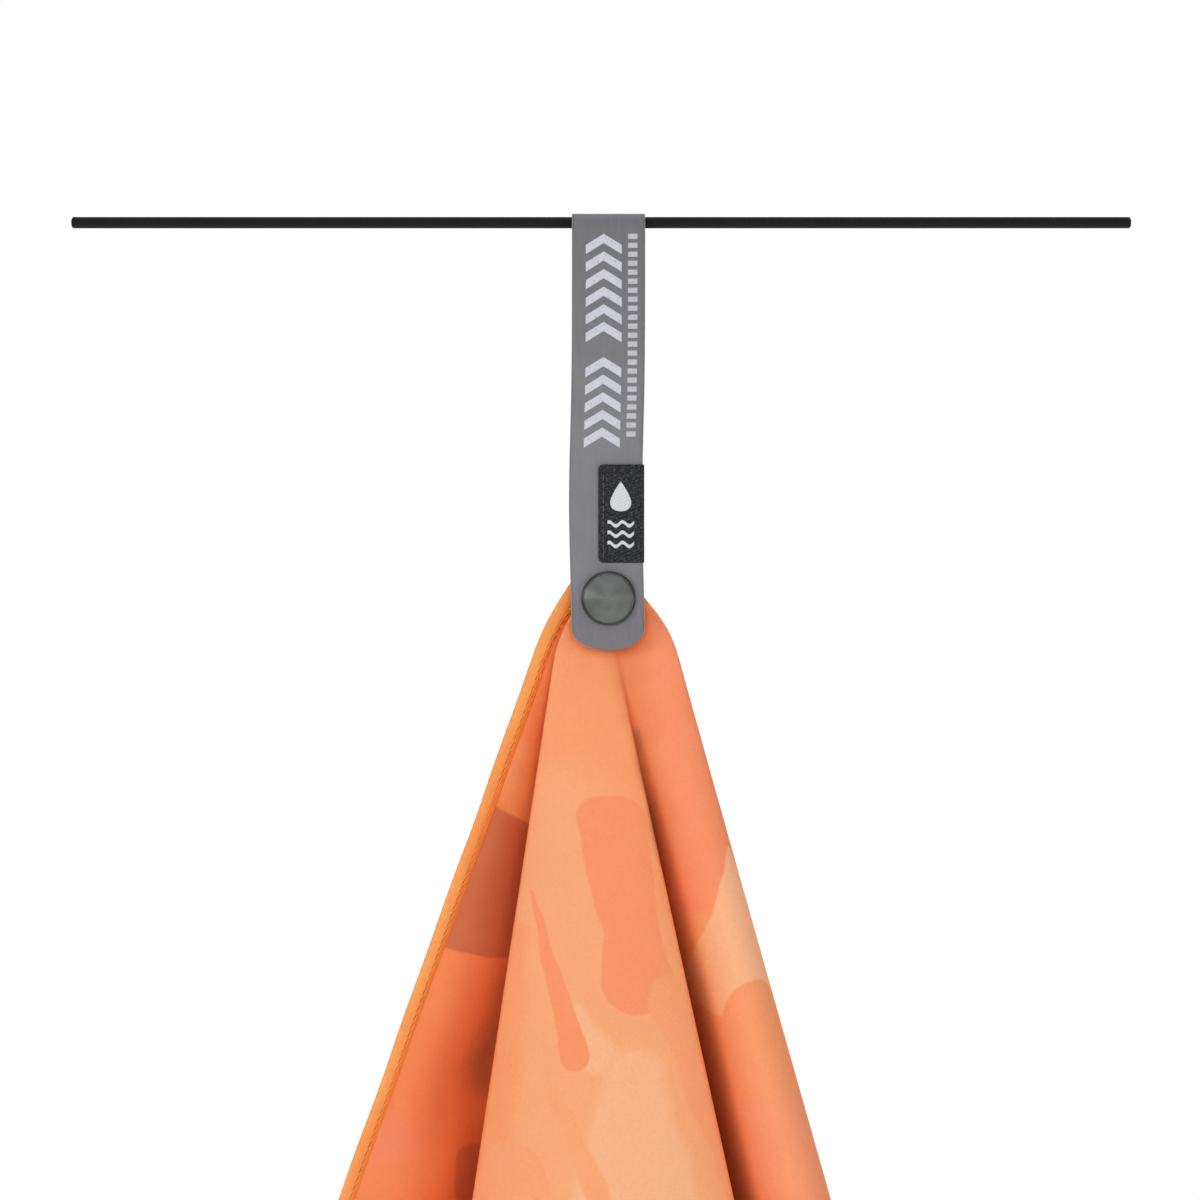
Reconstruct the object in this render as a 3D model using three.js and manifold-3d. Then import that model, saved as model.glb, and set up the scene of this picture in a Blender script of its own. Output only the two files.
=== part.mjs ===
// A quick-dry towel, hung by one corner from a folded tape loop that closes with a press stud.
// Millimetres, +Z up, front towards -Y. The origin is inside the top of the loop, where a line bears.

import * as THREE from "three";
import { mergeVertices } from "three/addons/utils/BufferGeometryUtils.js";
import Module from "manifold-3d";

const wasm = await Module();
wasm.setup();

// ---------- driving dimensions ----------
const GAP = 0.3; // between pieces that touch on the real object
const TURN_GAP = 0.5; // between the bend and the leg that swings away from it

const TOWEL_LENGTH = 800;
const TOWEL_WIDTH = 400;
const CLOTH_THICK = 0.8;
const HEM_WIDTH = 4.6;
const HEM_THICK = 1.2;
const HEM_GAP = 0.6; // between the hem and the cloth's cut edge, so that tight pleats stay clear
const HEM_START = 5; // the corner is trimmed this far before the hems are turned
const SHORT_HEM_START = 16; // the short edge's hem starts past the fold beside the press stud
const LAYER_GAP = 0.5; // between the folded layers of cloth beside the press stud
const THREAD_WIDTH = 0.5;
const THREAD_THICK = 0.4;
const THREAD_INSET = 0.8; // thread to the hem's inner edge
const THREAD_START = 46;

const TAPE_WIDTH = 20;
const TAPE_THICK = 0.8;
const LOOP_GAP = 6.8; // clear space between the tape's two legs
const FLAP_LENGTH = 118.7; // from the inside top of the loop to the tongue's end
const BACK_LENGTH = 111;
const TONGUE_ROUND = 6; // height of the rounded tongue

const STUD_DROP = 104.5; // from the inside top of the loop to the press stud's axis
const CAP_RADIUS = 7.4;
const CAP_HEIGHT = 1.9;
const RIVET_RADIUS = 1.0;
const HOLE_CLEARANCE = 0.3;
const POST_RADIUS = 6;
const POST_THICK = 0.8;
const FLANGE_RADIUS = 3.8;
const FLANGE_THICK = 0.8;
const NECK_RADIUS = 1.7;
const NECK_LENGTH = 0.9;
const BULB_RADIUS = 2.3;
const BULB_LENGTH = 0.7;
const SPRING_WIRE = 0.35;
const SOCKET_RADIUS = 5.5;
const SOCKET_BASE = 0.6;

const LABEL_THICK = 0.4;
const LABEL_LENGTH = 26.8;
const LABEL_TOP = 68; // from the inside top of the loop
const LABEL_FACE = 12.7; // width that shows on the tape's face
const LABEL_RETURN = 6.5; // width that is folded in behind the tape
const STITCH_THICK = 0.4;
const TACK_WIDTH = 9;
const TACK_HEIGHT = 1.6;

// ---------- places worked out from them ----------
const legIn = LOOP_GAP / 2;
const legOut = legIn + TAPE_THICK;
const bendZ = -legIn;
const cornerZ = -90;
const backLayerY = legIn - GAP - HEM_THICK / 2 - 0.1;
const frontLayerRise = -(CLOTH_THICK / 2 + HEM_THICK / 2 + LAYER_GAP);
const clothFrontY = backLayerY + frontLayerRise - CLOTH_THICK / 2;
const inner = HEM_WIDTH + HEM_GAP; // where the single cloth starts, in from the towel's edge

// ---------- how the cloth hangs ----------
// A sheet held by one corner hangs as a fan of straight lines that leave the corner. Each entry is
// one such line: `at` is its angle in the flat cloth, from the long edge (0) to the short edge (90).
// `fan`, `shoulder` and `side` are its lean to the right at the corner, where it leaves the tape and
// in the hanging pleats; `depth` is its lean backwards. `rise` is how far it stands behind the back
// layer beside the press stud, and `spread` the same at the shoulder, as shares of the front layer's.
const pleats = [
  { at: 0, fan: -45, shoulder: -31, side: -20.0, depth: 1, rise: 1, spread: -0.1 }, // long edge
  { at: 12.8, fan: -30, shoulder: -24, side: -8.5, depth: 6.5, rise: 1, spread: 0 }, // left recess
  { at: 18.8, fan: -21, shoulder: -33, side: -9, depth: 0, rise: 1, spread: 1.1 }, // front panel, left
  { at: 30, fan: -9, shoulder: -18, side: 1, depth: -5, rise: 1, spread: 1 }, // front panel, middle
  { at: 41.5, fan: 6, shoulder: -2, side: 12.3, depth: -1, rise: 1, spread: 1 }, // front panel, right
  { at: 46.6, fan: 11, shoulder: 5, side: 8.5, depth: 5, rise: 1, spread: 0.75 }, // right valley
  { at: 54, fan: 21, shoulder: 25, side: 14.5, depth: -1, rise: 1, spread: 1 }, // right panel
  { at: 60, fan: 29, shoulder: 48, side: 15.4, depth: 1.5, rise: 0.75, spread: 0.7 }, // outer fold
  { at: 65, fan: 31, shoulder: 45, side: 13.5, depth: 6, rise: 0.3, spread: 0.25 }, // behind it
  { at: 74, fan: 24, shoulder: 33, side: 3, depth: 8, rise: 0, spread: 0 }, // back panel
  { at: 82, fan: 15, shoulder: 24, side: -8, depth: 11, rise: 0, spread: 0 }, // back fold
  { at: 90, fan: 6, shoulder: 12, side: -15, depth: 9.5, rise: 0, spread: 0 }, // short edge
];
const MARCH_STEP = 2; // along a line, when its path is added up
const RIPPLE = 15; // extra depth of the pleats at the towel's lower end

const smooth = (from, to, x) => {
  const t = Math.min(Math.max((x - from) / (to - from), 0), 1);
  return t * t * (3 - 2 * t);
};

// A smooth curve through one column of the pleats table.
function across(angle, key) {
  let i = 0;
  while (i < pleats.length - 2 && angle > pleats[i + 1].at) i++;
  const slope = (k) => {
    const a = pleats[Math.max(k - 1, 0)];
    const b = pleats[Math.min(k + 1, pleats.length - 1)];
    return (b[key] - a[key]) / (b.at - a.at);
  };
  const span = pleats[i + 1].at - pleats[i].at;
  const t = (angle - pleats[i].at) / span;
  const h = t * t * (3 - 2 * t);
  const rise = (t ** 3 - 2 * t * t + t) * span * slope(i) + (t ** 3 - t * t) * span * slope(i + 1);
  return pleats[i][key] * (1 - h) + pleats[i + 1][key] * h + rise;
}

// Where a point of the flat cloth hangs: u along the long edge and v along the short edge.
function hang(u, v) {
  const reach = Math.hypot(u, v);
  const angle = THREE.MathUtils.radToDeg(Math.atan2(v, u));
  const line = {};
  for (const key of ["fan", "shoulder", "side", "depth", "rise", "spread"]) line[key] = across(angle, key);
  const p = new THREE.Vector3(0, backLayerY, cornerZ);
  const steps = Math.max(1, Math.ceil(reach / MARCH_STEP));
  for (let i = 0; i < steps; i++) {
    const s = ((i + 0.5) * reach) / steps;
    const nearTape = line.fan + (line.shoulder - line.fan) * smooth(8, 16, s);
    const spread = nearTape + (line.side - line.shoulder) * smooth(20, 38, s);
    const lean = THREE.MathUtils.degToRad(spread * (1 - 1.05 * smooth(170, 520, s)));
    const deeper = smooth(20, 44, s) * (1 + 0.6 * smooth(150, 320, s)) * (1 - 0.95 * smooth(300, 560, s));
    const back = THREE.MathUtils.degToRad(line.depth * deeper);
    const ds = reach / steps;
    p.x += Math.sin(lean) * Math.cos(back) * ds;
    p.y += Math.sin(back) * ds;
    p.z -= Math.cos(lean) * Math.cos(back) * ds;
  }
  p.y += frontLayerRise * (line.rise + (line.spread - line.rise) * smooth(12, 24, reach));
  p.y += RIPPLE * smooth(230, 760, reach) * Math.cos(THREE.MathUtils.degToRad(32 * (angle - 46)));
  return p;
}

// The cloth's face side at a point.
function faceSide(u, v) {
  const d = 0.4;
  const du = hang(u + d, v).sub(hang(Math.max(u - d, 0), v));
  const dv = hang(u, v + d).sub(hang(u, Math.max(v - d, 0)));
  return dv.cross(du).normalize();
}

// ---------- mesh helpers ----------
function meshFrom(points, faces) {
  const g = new THREE.BufferGeometry();
  g.setAttribute("position", new THREE.Float32BufferAttribute(points, 3));
  g.setIndex(faces);
  return g;
}

// A closed slab of cloth over a grid of flat [u, v] points, between two distances from mid-cloth.
function clothSlab(grid, low, high) {
  const rows = grid.length;
  const cols = grid[0].length;
  const points = [];
  for (const offset of [low, high]) {
    for (const row of grid) {
      for (const [u, v] of row) {
        const p = hang(u, v).addScaledVector(faceSide(u, v), offset);
        points.push(p.x, p.y, p.z);
      }
    }
  }
  const faces = [];
  const quad = (a, b, c, d) => faces.push(a, b, c, a, c, d);
  const at = (side, i, j) => side * rows * cols + i * cols + j;
  for (let i = 0; i < rows - 1; i++) {
    for (let j = 0; j < cols - 1; j++) {
      quad(at(0, i, j), at(0, i + 1, j), at(0, i + 1, j + 1), at(0, i, j + 1));
      quad(at(1, i, j), at(1, i, j + 1), at(1, i + 1, j + 1), at(1, i + 1, j));
    }
  }
  for (let i = 0; i < rows - 1; i++) {
    quad(at(0, i, 0), at(1, i, 0), at(1, i + 1, 0), at(0, i + 1, 0));
    quad(at(0, i + 1, cols - 1), at(1, i + 1, cols - 1), at(1, i, cols - 1), at(0, i, cols - 1));
  }
  for (let j = 0; j < cols - 1; j++) {
    quad(at(0, 0, j + 1), at(1, 0, j + 1), at(1, 0, j), at(0, 0, j));
    quad(at(0, rows - 1, j), at(1, rows - 1, j), at(1, rows - 1, j + 1), at(0, rows - 1, j + 1));
  }
  return meshFrom(points, faces);
}

function toSolid(geometry) {
  const g = geometry.clone();
  g.deleteAttribute("normal");
  g.deleteAttribute("uv");
  const merged = mergeVertices(g, 1e-4);
  return new wasm.Manifold(
    new wasm.Mesh({
      numProp: 3,
      vertProperties: new Float32Array(merged.attributes.position.array),
      triVerts: new Uint32Array(merged.index.array),
    }),
  );
}

function fromSolid(solid) {
  const m = solid.getMesh();
  return meshFrom(m.vertProperties, Array.from(m.triVerts));
}

// A round plug along Y, used to cut holes for rivets.
function plug(radius, fromY, toY, z) {
  const g = new THREE.CylinderGeometry(radius, radius, toY - fromY, 32);
  g.translate(0, (fromY + toY) / 2, z);
  return toSolid(g);
}

// A turned piece about the press stud's axis. Points are [radius, y] from the front to the back.
function turned(profile) {
  const points = profile.map(([r, y]) => new THREE.Vector2(r, y));
  const g = new THREE.LatheGeometry(points, 32);
  g.translate(0, 0, -STUD_DROP);
  return g;
}

// A flat outline in X-Z, given thickness from y = front to y = back.
function plate(shape, front, back) {
  const g = new THREE.ExtrudeGeometry(shape, { depth: back - front, bevelEnabled: false, curveSegments: 24 });
  g.rotateX(Math.PI / 2);
  g.translate(0, back, 0);
  return g;
}

function rectangle(x0, x1, z0, z1) {
  const s = new THREE.Shape();
  s.moveTo(x0, z0);
  s.lineTo(x1, z0);
  s.lineTo(x1, z1);
  s.lineTo(x0, z1);
  s.closePath();
  return s;
}

// A tape leg with a rounded lower end.
function tongue(top, bottom) {
  const half = TAPE_WIDTH / 2;
  const s = new THREE.Shape();
  s.moveTo(half, top);
  s.lineTo(-half, top);
  s.lineTo(-half, bottom + TONGUE_ROUND);
  s.absellipse(0, bottom + TONGUE_ROUND, half, TONGUE_ROUND, Math.PI, 2 * Math.PI, false);
  s.closePath();
  return s;
}

// ---------- materials ----------
const finish = (color, roughness, metalness = 0) => new THREE.MeshStandardMaterial({ color, roughness, metalness });
const clothOrange = finish(0xfaa06e, 0.9);
const hemOrange = finish(0xf4ac78, 0.85);
const threadOrange = finish(0xe07f2c, 0.7);
const tapeGrey = finish(0x84838a, 0.8);
const threadGrey = finish(0x77767c, 0.7);
const labelDark = finish(0x3f4142, 0.8);
const capGrey = finish(0x6c6f6b, 0.4, 0.3);
const steel = finish(0xa8aaab, 0.3, 1);

const towel = new THREE.Group();
function add(name, geometry, material) {
  const mesh = new THREE.Mesh(geometry, material);
  mesh.name = name;
  towel.add(mesh);
}

// ---------- cloth ----------
// Stations along a length, closer together near the corner where the pleats are tight.
function stations(from, to, count, crowd) {
  return Array.from({ length: count + 1 }, (_, i) => from + (to - from) * (i / count) ** crowd);
}

// The cloth and its hems share these stations, so that their facets line up along every edge.
const long = TOWEL_LENGTH - 2 * inner;
const short = TOWEL_WIDTH - 2 * inner;
const outward = stations(HEM_START / long, 1, 30, 1.6);
const acrossLower = stations(0, 1, 20, 1);
const alongFar = stations(0, 1, 40, 1.15);

function clothBody() {
  const rim = acrossLower.map((t) => [long, short * t]);
  for (const t of alongFar.slice(0, -1).reverse()) rim.push([long * t, short]);
  return outward.map((t) => rim.map(([u, v]) => [inner + u * t, inner + v * t]));
}

// A strip of cloth grid that runs along u at the given stations, with a column at each value of v.
const strip = (along, columns) => along.map((u) => columns.map((v) => [u, v]));
const swap = (grid) => grid.map((row) => row.map(([a, b]) => [b, a]).reverse());
const longStations = outward.map((t) => inner + long * t);
const shortStations = outward.map((t) => inner + short * t).filter((s) => s > SHORT_HEM_START);
const lowerStations = acrossLower.map((t) => inner + short * t);
const farStations = alongFar.map((t) => inner + long * t);

const hemHalf = HEM_THICK / 2;
const threadNear = [HEM_WIDTH - THREAD_INSET - THREAD_WIDTH, HEM_WIDTH - THREAD_INSET];
const threadFar = (size) => [size - threadNear[1], size - threadNear[0]];
const nearSide = [0, ...threadNear, HEM_WIDTH];
const farSide = (size) => [size - HEM_WIDTH, ...threadFar(size), size];
const hems = {
  long: strip([...longStations, TOWEL_LENGTH], nearSide),
  short: swap(strip([...shortStations, TOWEL_WIDTH], nearSide)),
  lower: swap(strip([...lowerStations, TOWEL_WIDTH], farSide(TOWEL_LENGTH))),
  far: strip(farStations, farSide(TOWEL_WIDTH)),
};
const rivetHole = plug(RIVET_RADIUS + HOLE_CLEARANCE, -legOut - 5, legOut + 5, -STUD_DROP);
const clothSolid = toSolid(clothSlab(clothBody(), -CLOTH_THICK / 2, CLOTH_THICK / 2));
add("towel_cloth", fromSolid(clothSolid.subtract(rivetHole)), clothOrange);
for (const [name, grid] of Object.entries(hems)) add(`hem_${name}`, clothSlab(grid, -hemHalf, hemHalf), hemOrange);

const pastShoulder = (list) => list.filter((s) => s > THREAD_START);
const threadIn = hemHalf + GAP;
const threads = {
  long: strip(pastShoulder(longStations), threadNear),
  short: swap(strip(pastShoulder(shortStations), threadNear)),
  lower: swap(strip(lowerStations, threadFar(TOWEL_LENGTH))),
  far: strip(farStations.slice(1, -1), threadFar(TOWEL_WIDTH)),
};
for (const [name, grid] of Object.entries(threads)) {
  add(`hem_thread_${name}`, clothSlab(grid, threadIn, threadIn + THREAD_THICK), threadOrange);
}

// ---------- tape loop ----------
const bendProfile = new THREE.Shape();
bendProfile.moveTo(legOut, bendZ);
bendProfile.absarc(0, bendZ, legOut, 0, Math.PI, false);
bendProfile.lineTo(-legIn, bendZ);
bendProfile.absarc(0, bendZ, legIn, Math.PI, 0, true);
bendProfile.closePath();
const bend = new THREE.ExtrudeGeometry(bendProfile, { depth: TAPE_WIDTH, bevelEnabled: false, curveSegments: 24 });
bend.rotateX(Math.PI / 2);
bend.rotateZ(Math.PI / 2);
bend.translate(-TAPE_WIDTH / 2, 0, 0);
add("strap_bend", bend, tapeGrey);

const backLeg = toSolid(plate(tongue(bendZ - GAP, -BACK_LENGTH), legIn, legOut));
add("strap_back_leg", fromSolid(backLeg.subtract(rivetHole)), tapeGrey);
const capTube = RIVET_RADIUS + 0.6;
const capHole = plug(capTube + HOLE_CLEARANCE, -legOut - 5, -legIn + 1, -STUD_DROP);
const frontLeg = toSolid(plate(tongue(bendZ - TURN_GAP, -FLAP_LENGTH), -legOut, -legIn));
add("strap_front_leg", fromSolid(frontLeg.subtract(capHole)), tapeGrey);

const tackZ = -STUD_DROP + POST_RADIUS + GAP;
const tack = rectangle(-TACK_WIDTH / 2, TACK_WIDTH / 2, tackZ + 1, tackZ + 1 + TACK_HEIGHT);
add("strap_bar_tack", plate(tack, legOut + GAP, legOut + GAP + STITCH_THICK), threadGrey);

// ---------- press stud ----------
const flangeBack = clothFrontY - GAP;
const flangeFront = flangeBack - FLANGE_THICK;
const bulbBack = flangeFront - NECK_LENGTH;
const bulbFront = bulbBack - BULB_LENGTH;
const boreRadius = RIVET_RADIUS + HOLE_CLEARANCE;
const boreEnd = flangeFront - 0.5 * NECK_LENGTH;
add("snap_stud", turned([
  [0, bulbFront],
  [BULB_RADIUS - 0.4, bulbFront],
  [BULB_RADIUS, bulbFront + 0.4],
  [BULB_RADIUS, bulbBack - 0.1],
  [NECK_RADIUS, bulbBack + 0.1],
  [NECK_RADIUS, flangeFront],
  [FLANGE_RADIUS, flangeFront],
  [FLANGE_RADIUS, flangeBack],
  [boreRadius, flangeBack],
  [boreRadius, boreEnd],
  [0, boreEnd],
]), steel);

const postFront = legOut + GAP;
add("snap_post", turned([
  [0, boreEnd + GAP],
  [RIVET_RADIUS, boreEnd + GAP],
  [RIVET_RADIUS, postFront],
  [POST_RADIUS - 0.4, postFront],
  [POST_RADIUS, postFront + 0.3],
  [POST_RADIUS - 0.8, postFront + POST_THICK],
  [0, postFront + POST_THICK],
]), steel);

const socketBack = flangeFront - GAP;
const socketFront = -legIn + GAP;
const socketBase = socketFront + SOCKET_BASE;
const springIn = NECK_RADIUS + GAP;
const springOut = springIn + SPRING_WIRE + 0.15;
const cavity = springOut + 2 * GAP;
add("snap_socket", turned([
  [capTube + HOLE_CLEARANCE, socketFront],
  [SOCKET_RADIUS, socketFront],
  [SOCKET_RADIUS, socketBase],
  [cavity + 0.9, socketBase + 0.3],
  [cavity + 0.7, socketBack],
  [cavity, socketBack],
  [cavity, socketBase],
  [capTube + HOLE_CLEARANCE, socketBase],
  [capTube + HOLE_CLEARANCE, socketFront],
]), steel);

const springFront = bulbBack + 0.1 + 0.15;
add("snap_spring", turned([
  [springIn, springFront],
  [springOut, springFront],
  [springOut, springFront + SPRING_WIRE],
  [springIn, springFront + SPRING_WIRE],
  [springIn, springFront],
]), steel);

const capBack = -legOut - GAP;
const capFront = capBack - CAP_HEIGHT;
const domeRadius = (CAP_RADIUS ** 2 + (CAP_HEIGHT - 0.7) ** 2) / (2 * (CAP_HEIGHT - 0.7));
const dome = Array.from({ length: 9 }, (_, i) => {
  const r = ((CAP_RADIUS - 0.3) * i) / 8;
  return [r, capFront + domeRadius - Math.sqrt(domeRadius ** 2 - r ** 2)];
});
add("snap_cap", turned([
  ...dome,
  [CAP_RADIUS, capBack - 0.5],
  [CAP_RADIUS, capBack - 0.15],
  [CAP_RADIUS - 0.2, capBack],
  [capTube, capBack],
  [capTube, socketBase - 0.2],
  [0, socketBase - 0.2],
]), capGrey);

// ---------- label ----------
const edge = TAPE_WIDTH / 2 + GAP;
const labelLow = -LABEL_TOP - LABEL_LENGTH;
const labelIn = -legIn + GAP;
const labelOut = -legOut - GAP;
const label = new THREE.Shape();
label.moveTo(edge + LABEL_THICK - LABEL_FACE, -labelOut);
label.lineTo(edge, -labelOut);
label.lineTo(edge, -labelIn);
label.lineTo(edge - LABEL_RETURN, -labelIn);
label.lineTo(edge - LABEL_RETURN, -labelIn - LABEL_THICK);
label.lineTo(edge + LABEL_THICK, -labelIn - LABEL_THICK);
label.lineTo(edge + LABEL_THICK, -labelOut + LABEL_THICK);
label.lineTo(edge + LABEL_THICK - LABEL_FACE, -labelOut + LABEL_THICK);
label.closePath();
const labelMesh = new THREE.ExtrudeGeometry(label, { depth: LABEL_LENGTH, bevelEnabled: false });
labelMesh.rotateX(Math.PI);
labelMesh.translate(0, 0, labelLow + LABEL_LENGTH);
add("woven_label", labelMesh, labelDark);

const seamX = edge + LABEL_THICK - LABEL_FACE + 1;
const seamY = labelOut - LABEL_THICK - GAP;
const seam = rectangle(seamX, seamX + THREAD_WIDTH, labelLow + 1, -LABEL_TOP - 1);
add("label_stitch", plate(seam, seamY - STITCH_THICK, seamY), threadGrey);

export default towel;
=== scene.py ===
# %% [markdown]
# # A quick-dry towel that hangs from its own snap loop
#
# A quick-dry travel towel is one thin sheet of brushed microfibre, printed on its face and hemmed all round.
# One corner is sewn into a short synthetic tape. The tape folds over and closes with a press stud, so that the
# towel hangs from a washing line, a branch or a rucksack.
#
# The steps below follow how the real one is made: the sheet, its hems and stitching, then the tape with its
# print, the woven label, the press stud, and last the room that it is seen in.

import math

import bpy
import numpy as np
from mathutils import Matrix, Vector


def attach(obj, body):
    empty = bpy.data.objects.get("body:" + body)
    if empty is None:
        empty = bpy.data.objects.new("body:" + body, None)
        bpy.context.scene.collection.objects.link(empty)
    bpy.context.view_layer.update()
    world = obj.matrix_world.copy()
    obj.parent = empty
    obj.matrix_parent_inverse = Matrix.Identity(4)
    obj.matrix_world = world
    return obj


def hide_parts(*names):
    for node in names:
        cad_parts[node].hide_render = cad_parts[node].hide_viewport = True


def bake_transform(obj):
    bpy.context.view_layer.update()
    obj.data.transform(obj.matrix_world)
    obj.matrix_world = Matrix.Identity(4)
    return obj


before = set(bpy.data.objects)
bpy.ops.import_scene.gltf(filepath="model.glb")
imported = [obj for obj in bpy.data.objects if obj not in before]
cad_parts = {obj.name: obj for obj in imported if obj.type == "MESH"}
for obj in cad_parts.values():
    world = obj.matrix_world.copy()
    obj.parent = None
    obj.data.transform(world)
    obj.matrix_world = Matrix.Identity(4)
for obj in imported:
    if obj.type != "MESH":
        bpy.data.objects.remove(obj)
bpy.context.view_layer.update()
rng = np.random.default_rng(11)

# %% [markdown]
# ## Where it is seen from
#
# The camera stands level with the loop and looks straight at it with a long lens. A long lens keeps the
# tape's edges parallel. The camera is made first, so that every later step can be checked through it.

# %% Camera
camera_data = bpy.data.cameras.new("camera")
camera_data.lens = 100
camera_data.sensor_width = 36
camera = bpy.data.objects.new("camera", camera_data)
camera.location = (-0.00233, -0.913, -0.10495)
camera.rotation_euler = (math.radians(90), 0, 0)
bpy.context.scene.collection.objects.link(camera)
bpy.context.scene.camera = camera
bpy.context.scene.view_settings.view_transform = "Standard"
print("camera at", [round(x, 3) for x in camera.location])

# %% [markdown]
# ## How the sheet hangs
#
# A sheet held by one corner doesn't stretch. Each straight line of cloth that leaves the corner stays nearly
# straight and leans a little to one side or the other, and the pleats are where neighbouring lines lean
# differently. So the whole drape is described by a dozen such lines, and the rest is a smooth curve between
# them. A cloth simulation could make the folds too, but it would not put them in the same places each time,
# and the hems and stitches need a surface that can be asked where any flat point hangs.
#
# Flat coordinates are in millimetres: u along the long edge, v along the short edge, the held corner at (0, 0).

# %% The pleats
MM = 0.001
TOWEL_LENGTH = 800.0
TOWEL_WIDTH = 400.0
CORNER = (0.0, 2.4, -90.0)  # where the held corner is sewn, between the tape's legs
LAYER_STEP = -1.5  # from the back layer of cloth to the front one, under the press stud

# angle in the flat cloth, lean at the corner, lean past the tape, lean in the pleats, lean backwards,
# layer under the press stud, layer past the tape
PLEATS = np.array([
    (0.0, -50, -31, -19.7, 1.0, 1.0, -0.1),  # long edge
    (12.8, -30, -24, -8.2, 8.0, 1.0, 0.0),  # left recess
    (18.8, -21, -33, -8.3, 0.0, 1.0, 1.1),  # front panel, left
    (30.0, -9, -18, 1.0, -5.0, 1.0, 1.0),  # front panel, middle
    (41.5, 6, -2, 12.3, -1.0, 1.0, 1.0),  # front panel, right
    (46.6, 11, 5, 9.0, 5.5, 1.0, 0.75),  # right valley
    (54.0, 21, 24, 14.5, -1.0, 1.0, 1.0),  # right panel
    (60.0, 29, 38, 15.9, 1.5, 0.75, 0.7),  # outer fold
    (65.0, 31, 38, 13.7, 6.0, 0.3, 0.25),  # behind it
    (74.0, 24, 33, 3.0, 8.0, 0.0, 0.0),  # back panel
    (82.0, 15, 24, -8.0, 11.0, 0.0, 0.0),  # back fold
    (90.0, 6, 12, -15.0, 9.5, 0.0, 0.0),  # short edge
])


def smooth(low, high, x):
    """0 before low, 1 after high, and an even ramp between them."""
    t = np.clip((x - low) / (high - low), 0, 1)
    return t * t * (3 - 2 * t)


def across(angle, column):
    """A smooth curve through one column of the pleats."""
    at, value = PLEATS[:, 0], PLEATS[:, column]
    last = len(at) - 1
    i = np.clip(np.searchsorted(at, angle) - 1, 0, last - 1)

    def slope(k):
        before, after = np.clip(k - 1, 0, last), np.clip(k + 1, 0, last)
        return (value[after] - value[before]) / (at[after] - at[before])

    span = at[i + 1] - at[i]
    t = (angle - at[i]) / span
    h = t * t * (3 - 2 * t)
    bend = (t**3 - 2 * t * t + t) * span * slope(i) + (t**3 - t * t) * span * slope(i + 1)
    return value[i] * (1 - h) + value[i + 1] * h + bend


ANGLE_STEP = 0.05
REACH_STEP = 0.5
angles = np.arange(0, 90 + ANGLE_STEP / 2, ANGLE_STEP)
reaches = np.arange(0, 905, REACH_STEP)


def hanging_lines():
    """The path of every line from the corner, as points by angle and by distance along the line."""
    fan, shoulder, side, depth, layer, past = (across(angles, k)[:, None] for k in range(1, 7))
    s = reaches[None, 1:] - REACH_STEP / 2
    near_tape = fan + (shoulder - fan) * smooth(8, 16, s)
    spread = near_tape + (side - shoulder) * smooth(20, 38, s)
    lean = np.radians(spread * (1 - 1.05 * smooth(170, 520, s)))
    deeper = smooth(20, 44, s) * (1 + 0.6 * smooth(150, 320, s)) * (1 - 0.95 * smooth(300, 560, s))
    back = np.radians(depth * deeper)
    steps = np.stack([np.sin(lean) * np.cos(back), np.sin(back), -np.cos(lean) * np.cos(back)], -1)
    start = np.broadcast_to(np.array(CORNER), (len(angles), 1, 3))
    line = np.concatenate([start, start + np.cumsum(steps * REACH_STEP, 1)], 1)
    r, a = reaches[None], angles[:, None]
    line[..., 1] += LAYER_STEP * (layer + (past - layer) * smooth(12, 24, r))
    line[..., 1] += 15 * smooth(230, 760, r) * np.cos(np.radians(32 * (a - 46)))
    return line


lines = hanging_lines()
print("lines of cloth:", lines.shape[0], "each with", lines.shape[1], "points")

# %% [markdown]
# ## Small creases
#
# A packed towel keeps faint creases, and its hems are a little tighter than the cloth, so they pull it into
# shallow dents. These are far too small to change the drape, but they break up the light on the folds.

# %% Creases
SMALL_CREASE, LONG_CREASE = 0.35, 0.55  # mm
PULL_DEPTH = 1.5  # mm, how deep the hem's pull dents the cloth
PULL_LINE, PULL_REACH = 26, 14  # mm in from the long edge, and how far to each side of that

a, r = angles[:, None], reaches[None]
loose = smooth(40, 130, r)
crease = SMALL_CREASE * np.sin(0.42 * a + 0.021 * r) * np.sin(0.055 * r + 0.09 * a)
crease += LONG_CREASE * np.sin(0.23 * a - 0.013 * r + 1.3) * smooth(90, 300, r)
from_edge = r * np.sin(np.radians(a))
pulled = np.exp(-((from_edge - PULL_LINE) / PULL_REACH) ** 2) * np.sin(r / 10.5 + 0.6 * np.sin(r / 31))
lines[..., 1] += loose * (crease + PULL_DEPTH * pulled * smooth(50, 90, r))
print("deepest crease:", round(float(np.abs(crease * loose).max()), 2), "mm")


def hang(u, v):
    """Where flat points hang, in millimetres."""
    reach = np.hypot(u, v) / REACH_STEP
    angle = np.degrees(np.arctan2(v, u)) / ANGLE_STEP
    i = np.clip(angle.astype(int), 0, len(angles) - 2)
    j = np.clip(reach.astype(int), 0, len(reaches) - 2)
    a, r = (angle - i)[..., None], (reach - j)[..., None]
    near = lines[i, j] * (1 - r) + lines[i, j + 1] * r
    far = lines[i + 1, j] * (1 - r) + lines[i + 1, j + 1] * r
    return near * (1 - a) + far * a


def unit(vectors):
    return vectors / np.maximum(np.linalg.norm(vectors, axis=-1, keepdims=True), 1e-12)


def face_side(u, v):
    """The direction that the cloth's printed face looks in."""
    d = 0.4
    du = hang(u + d, v) - hang(np.maximum(u - d, 0), v)
    dv = hang(u, v + d) - hang(u, np.maximum(v - d, 0))
    return unit(np.cross(dv, du))


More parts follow.
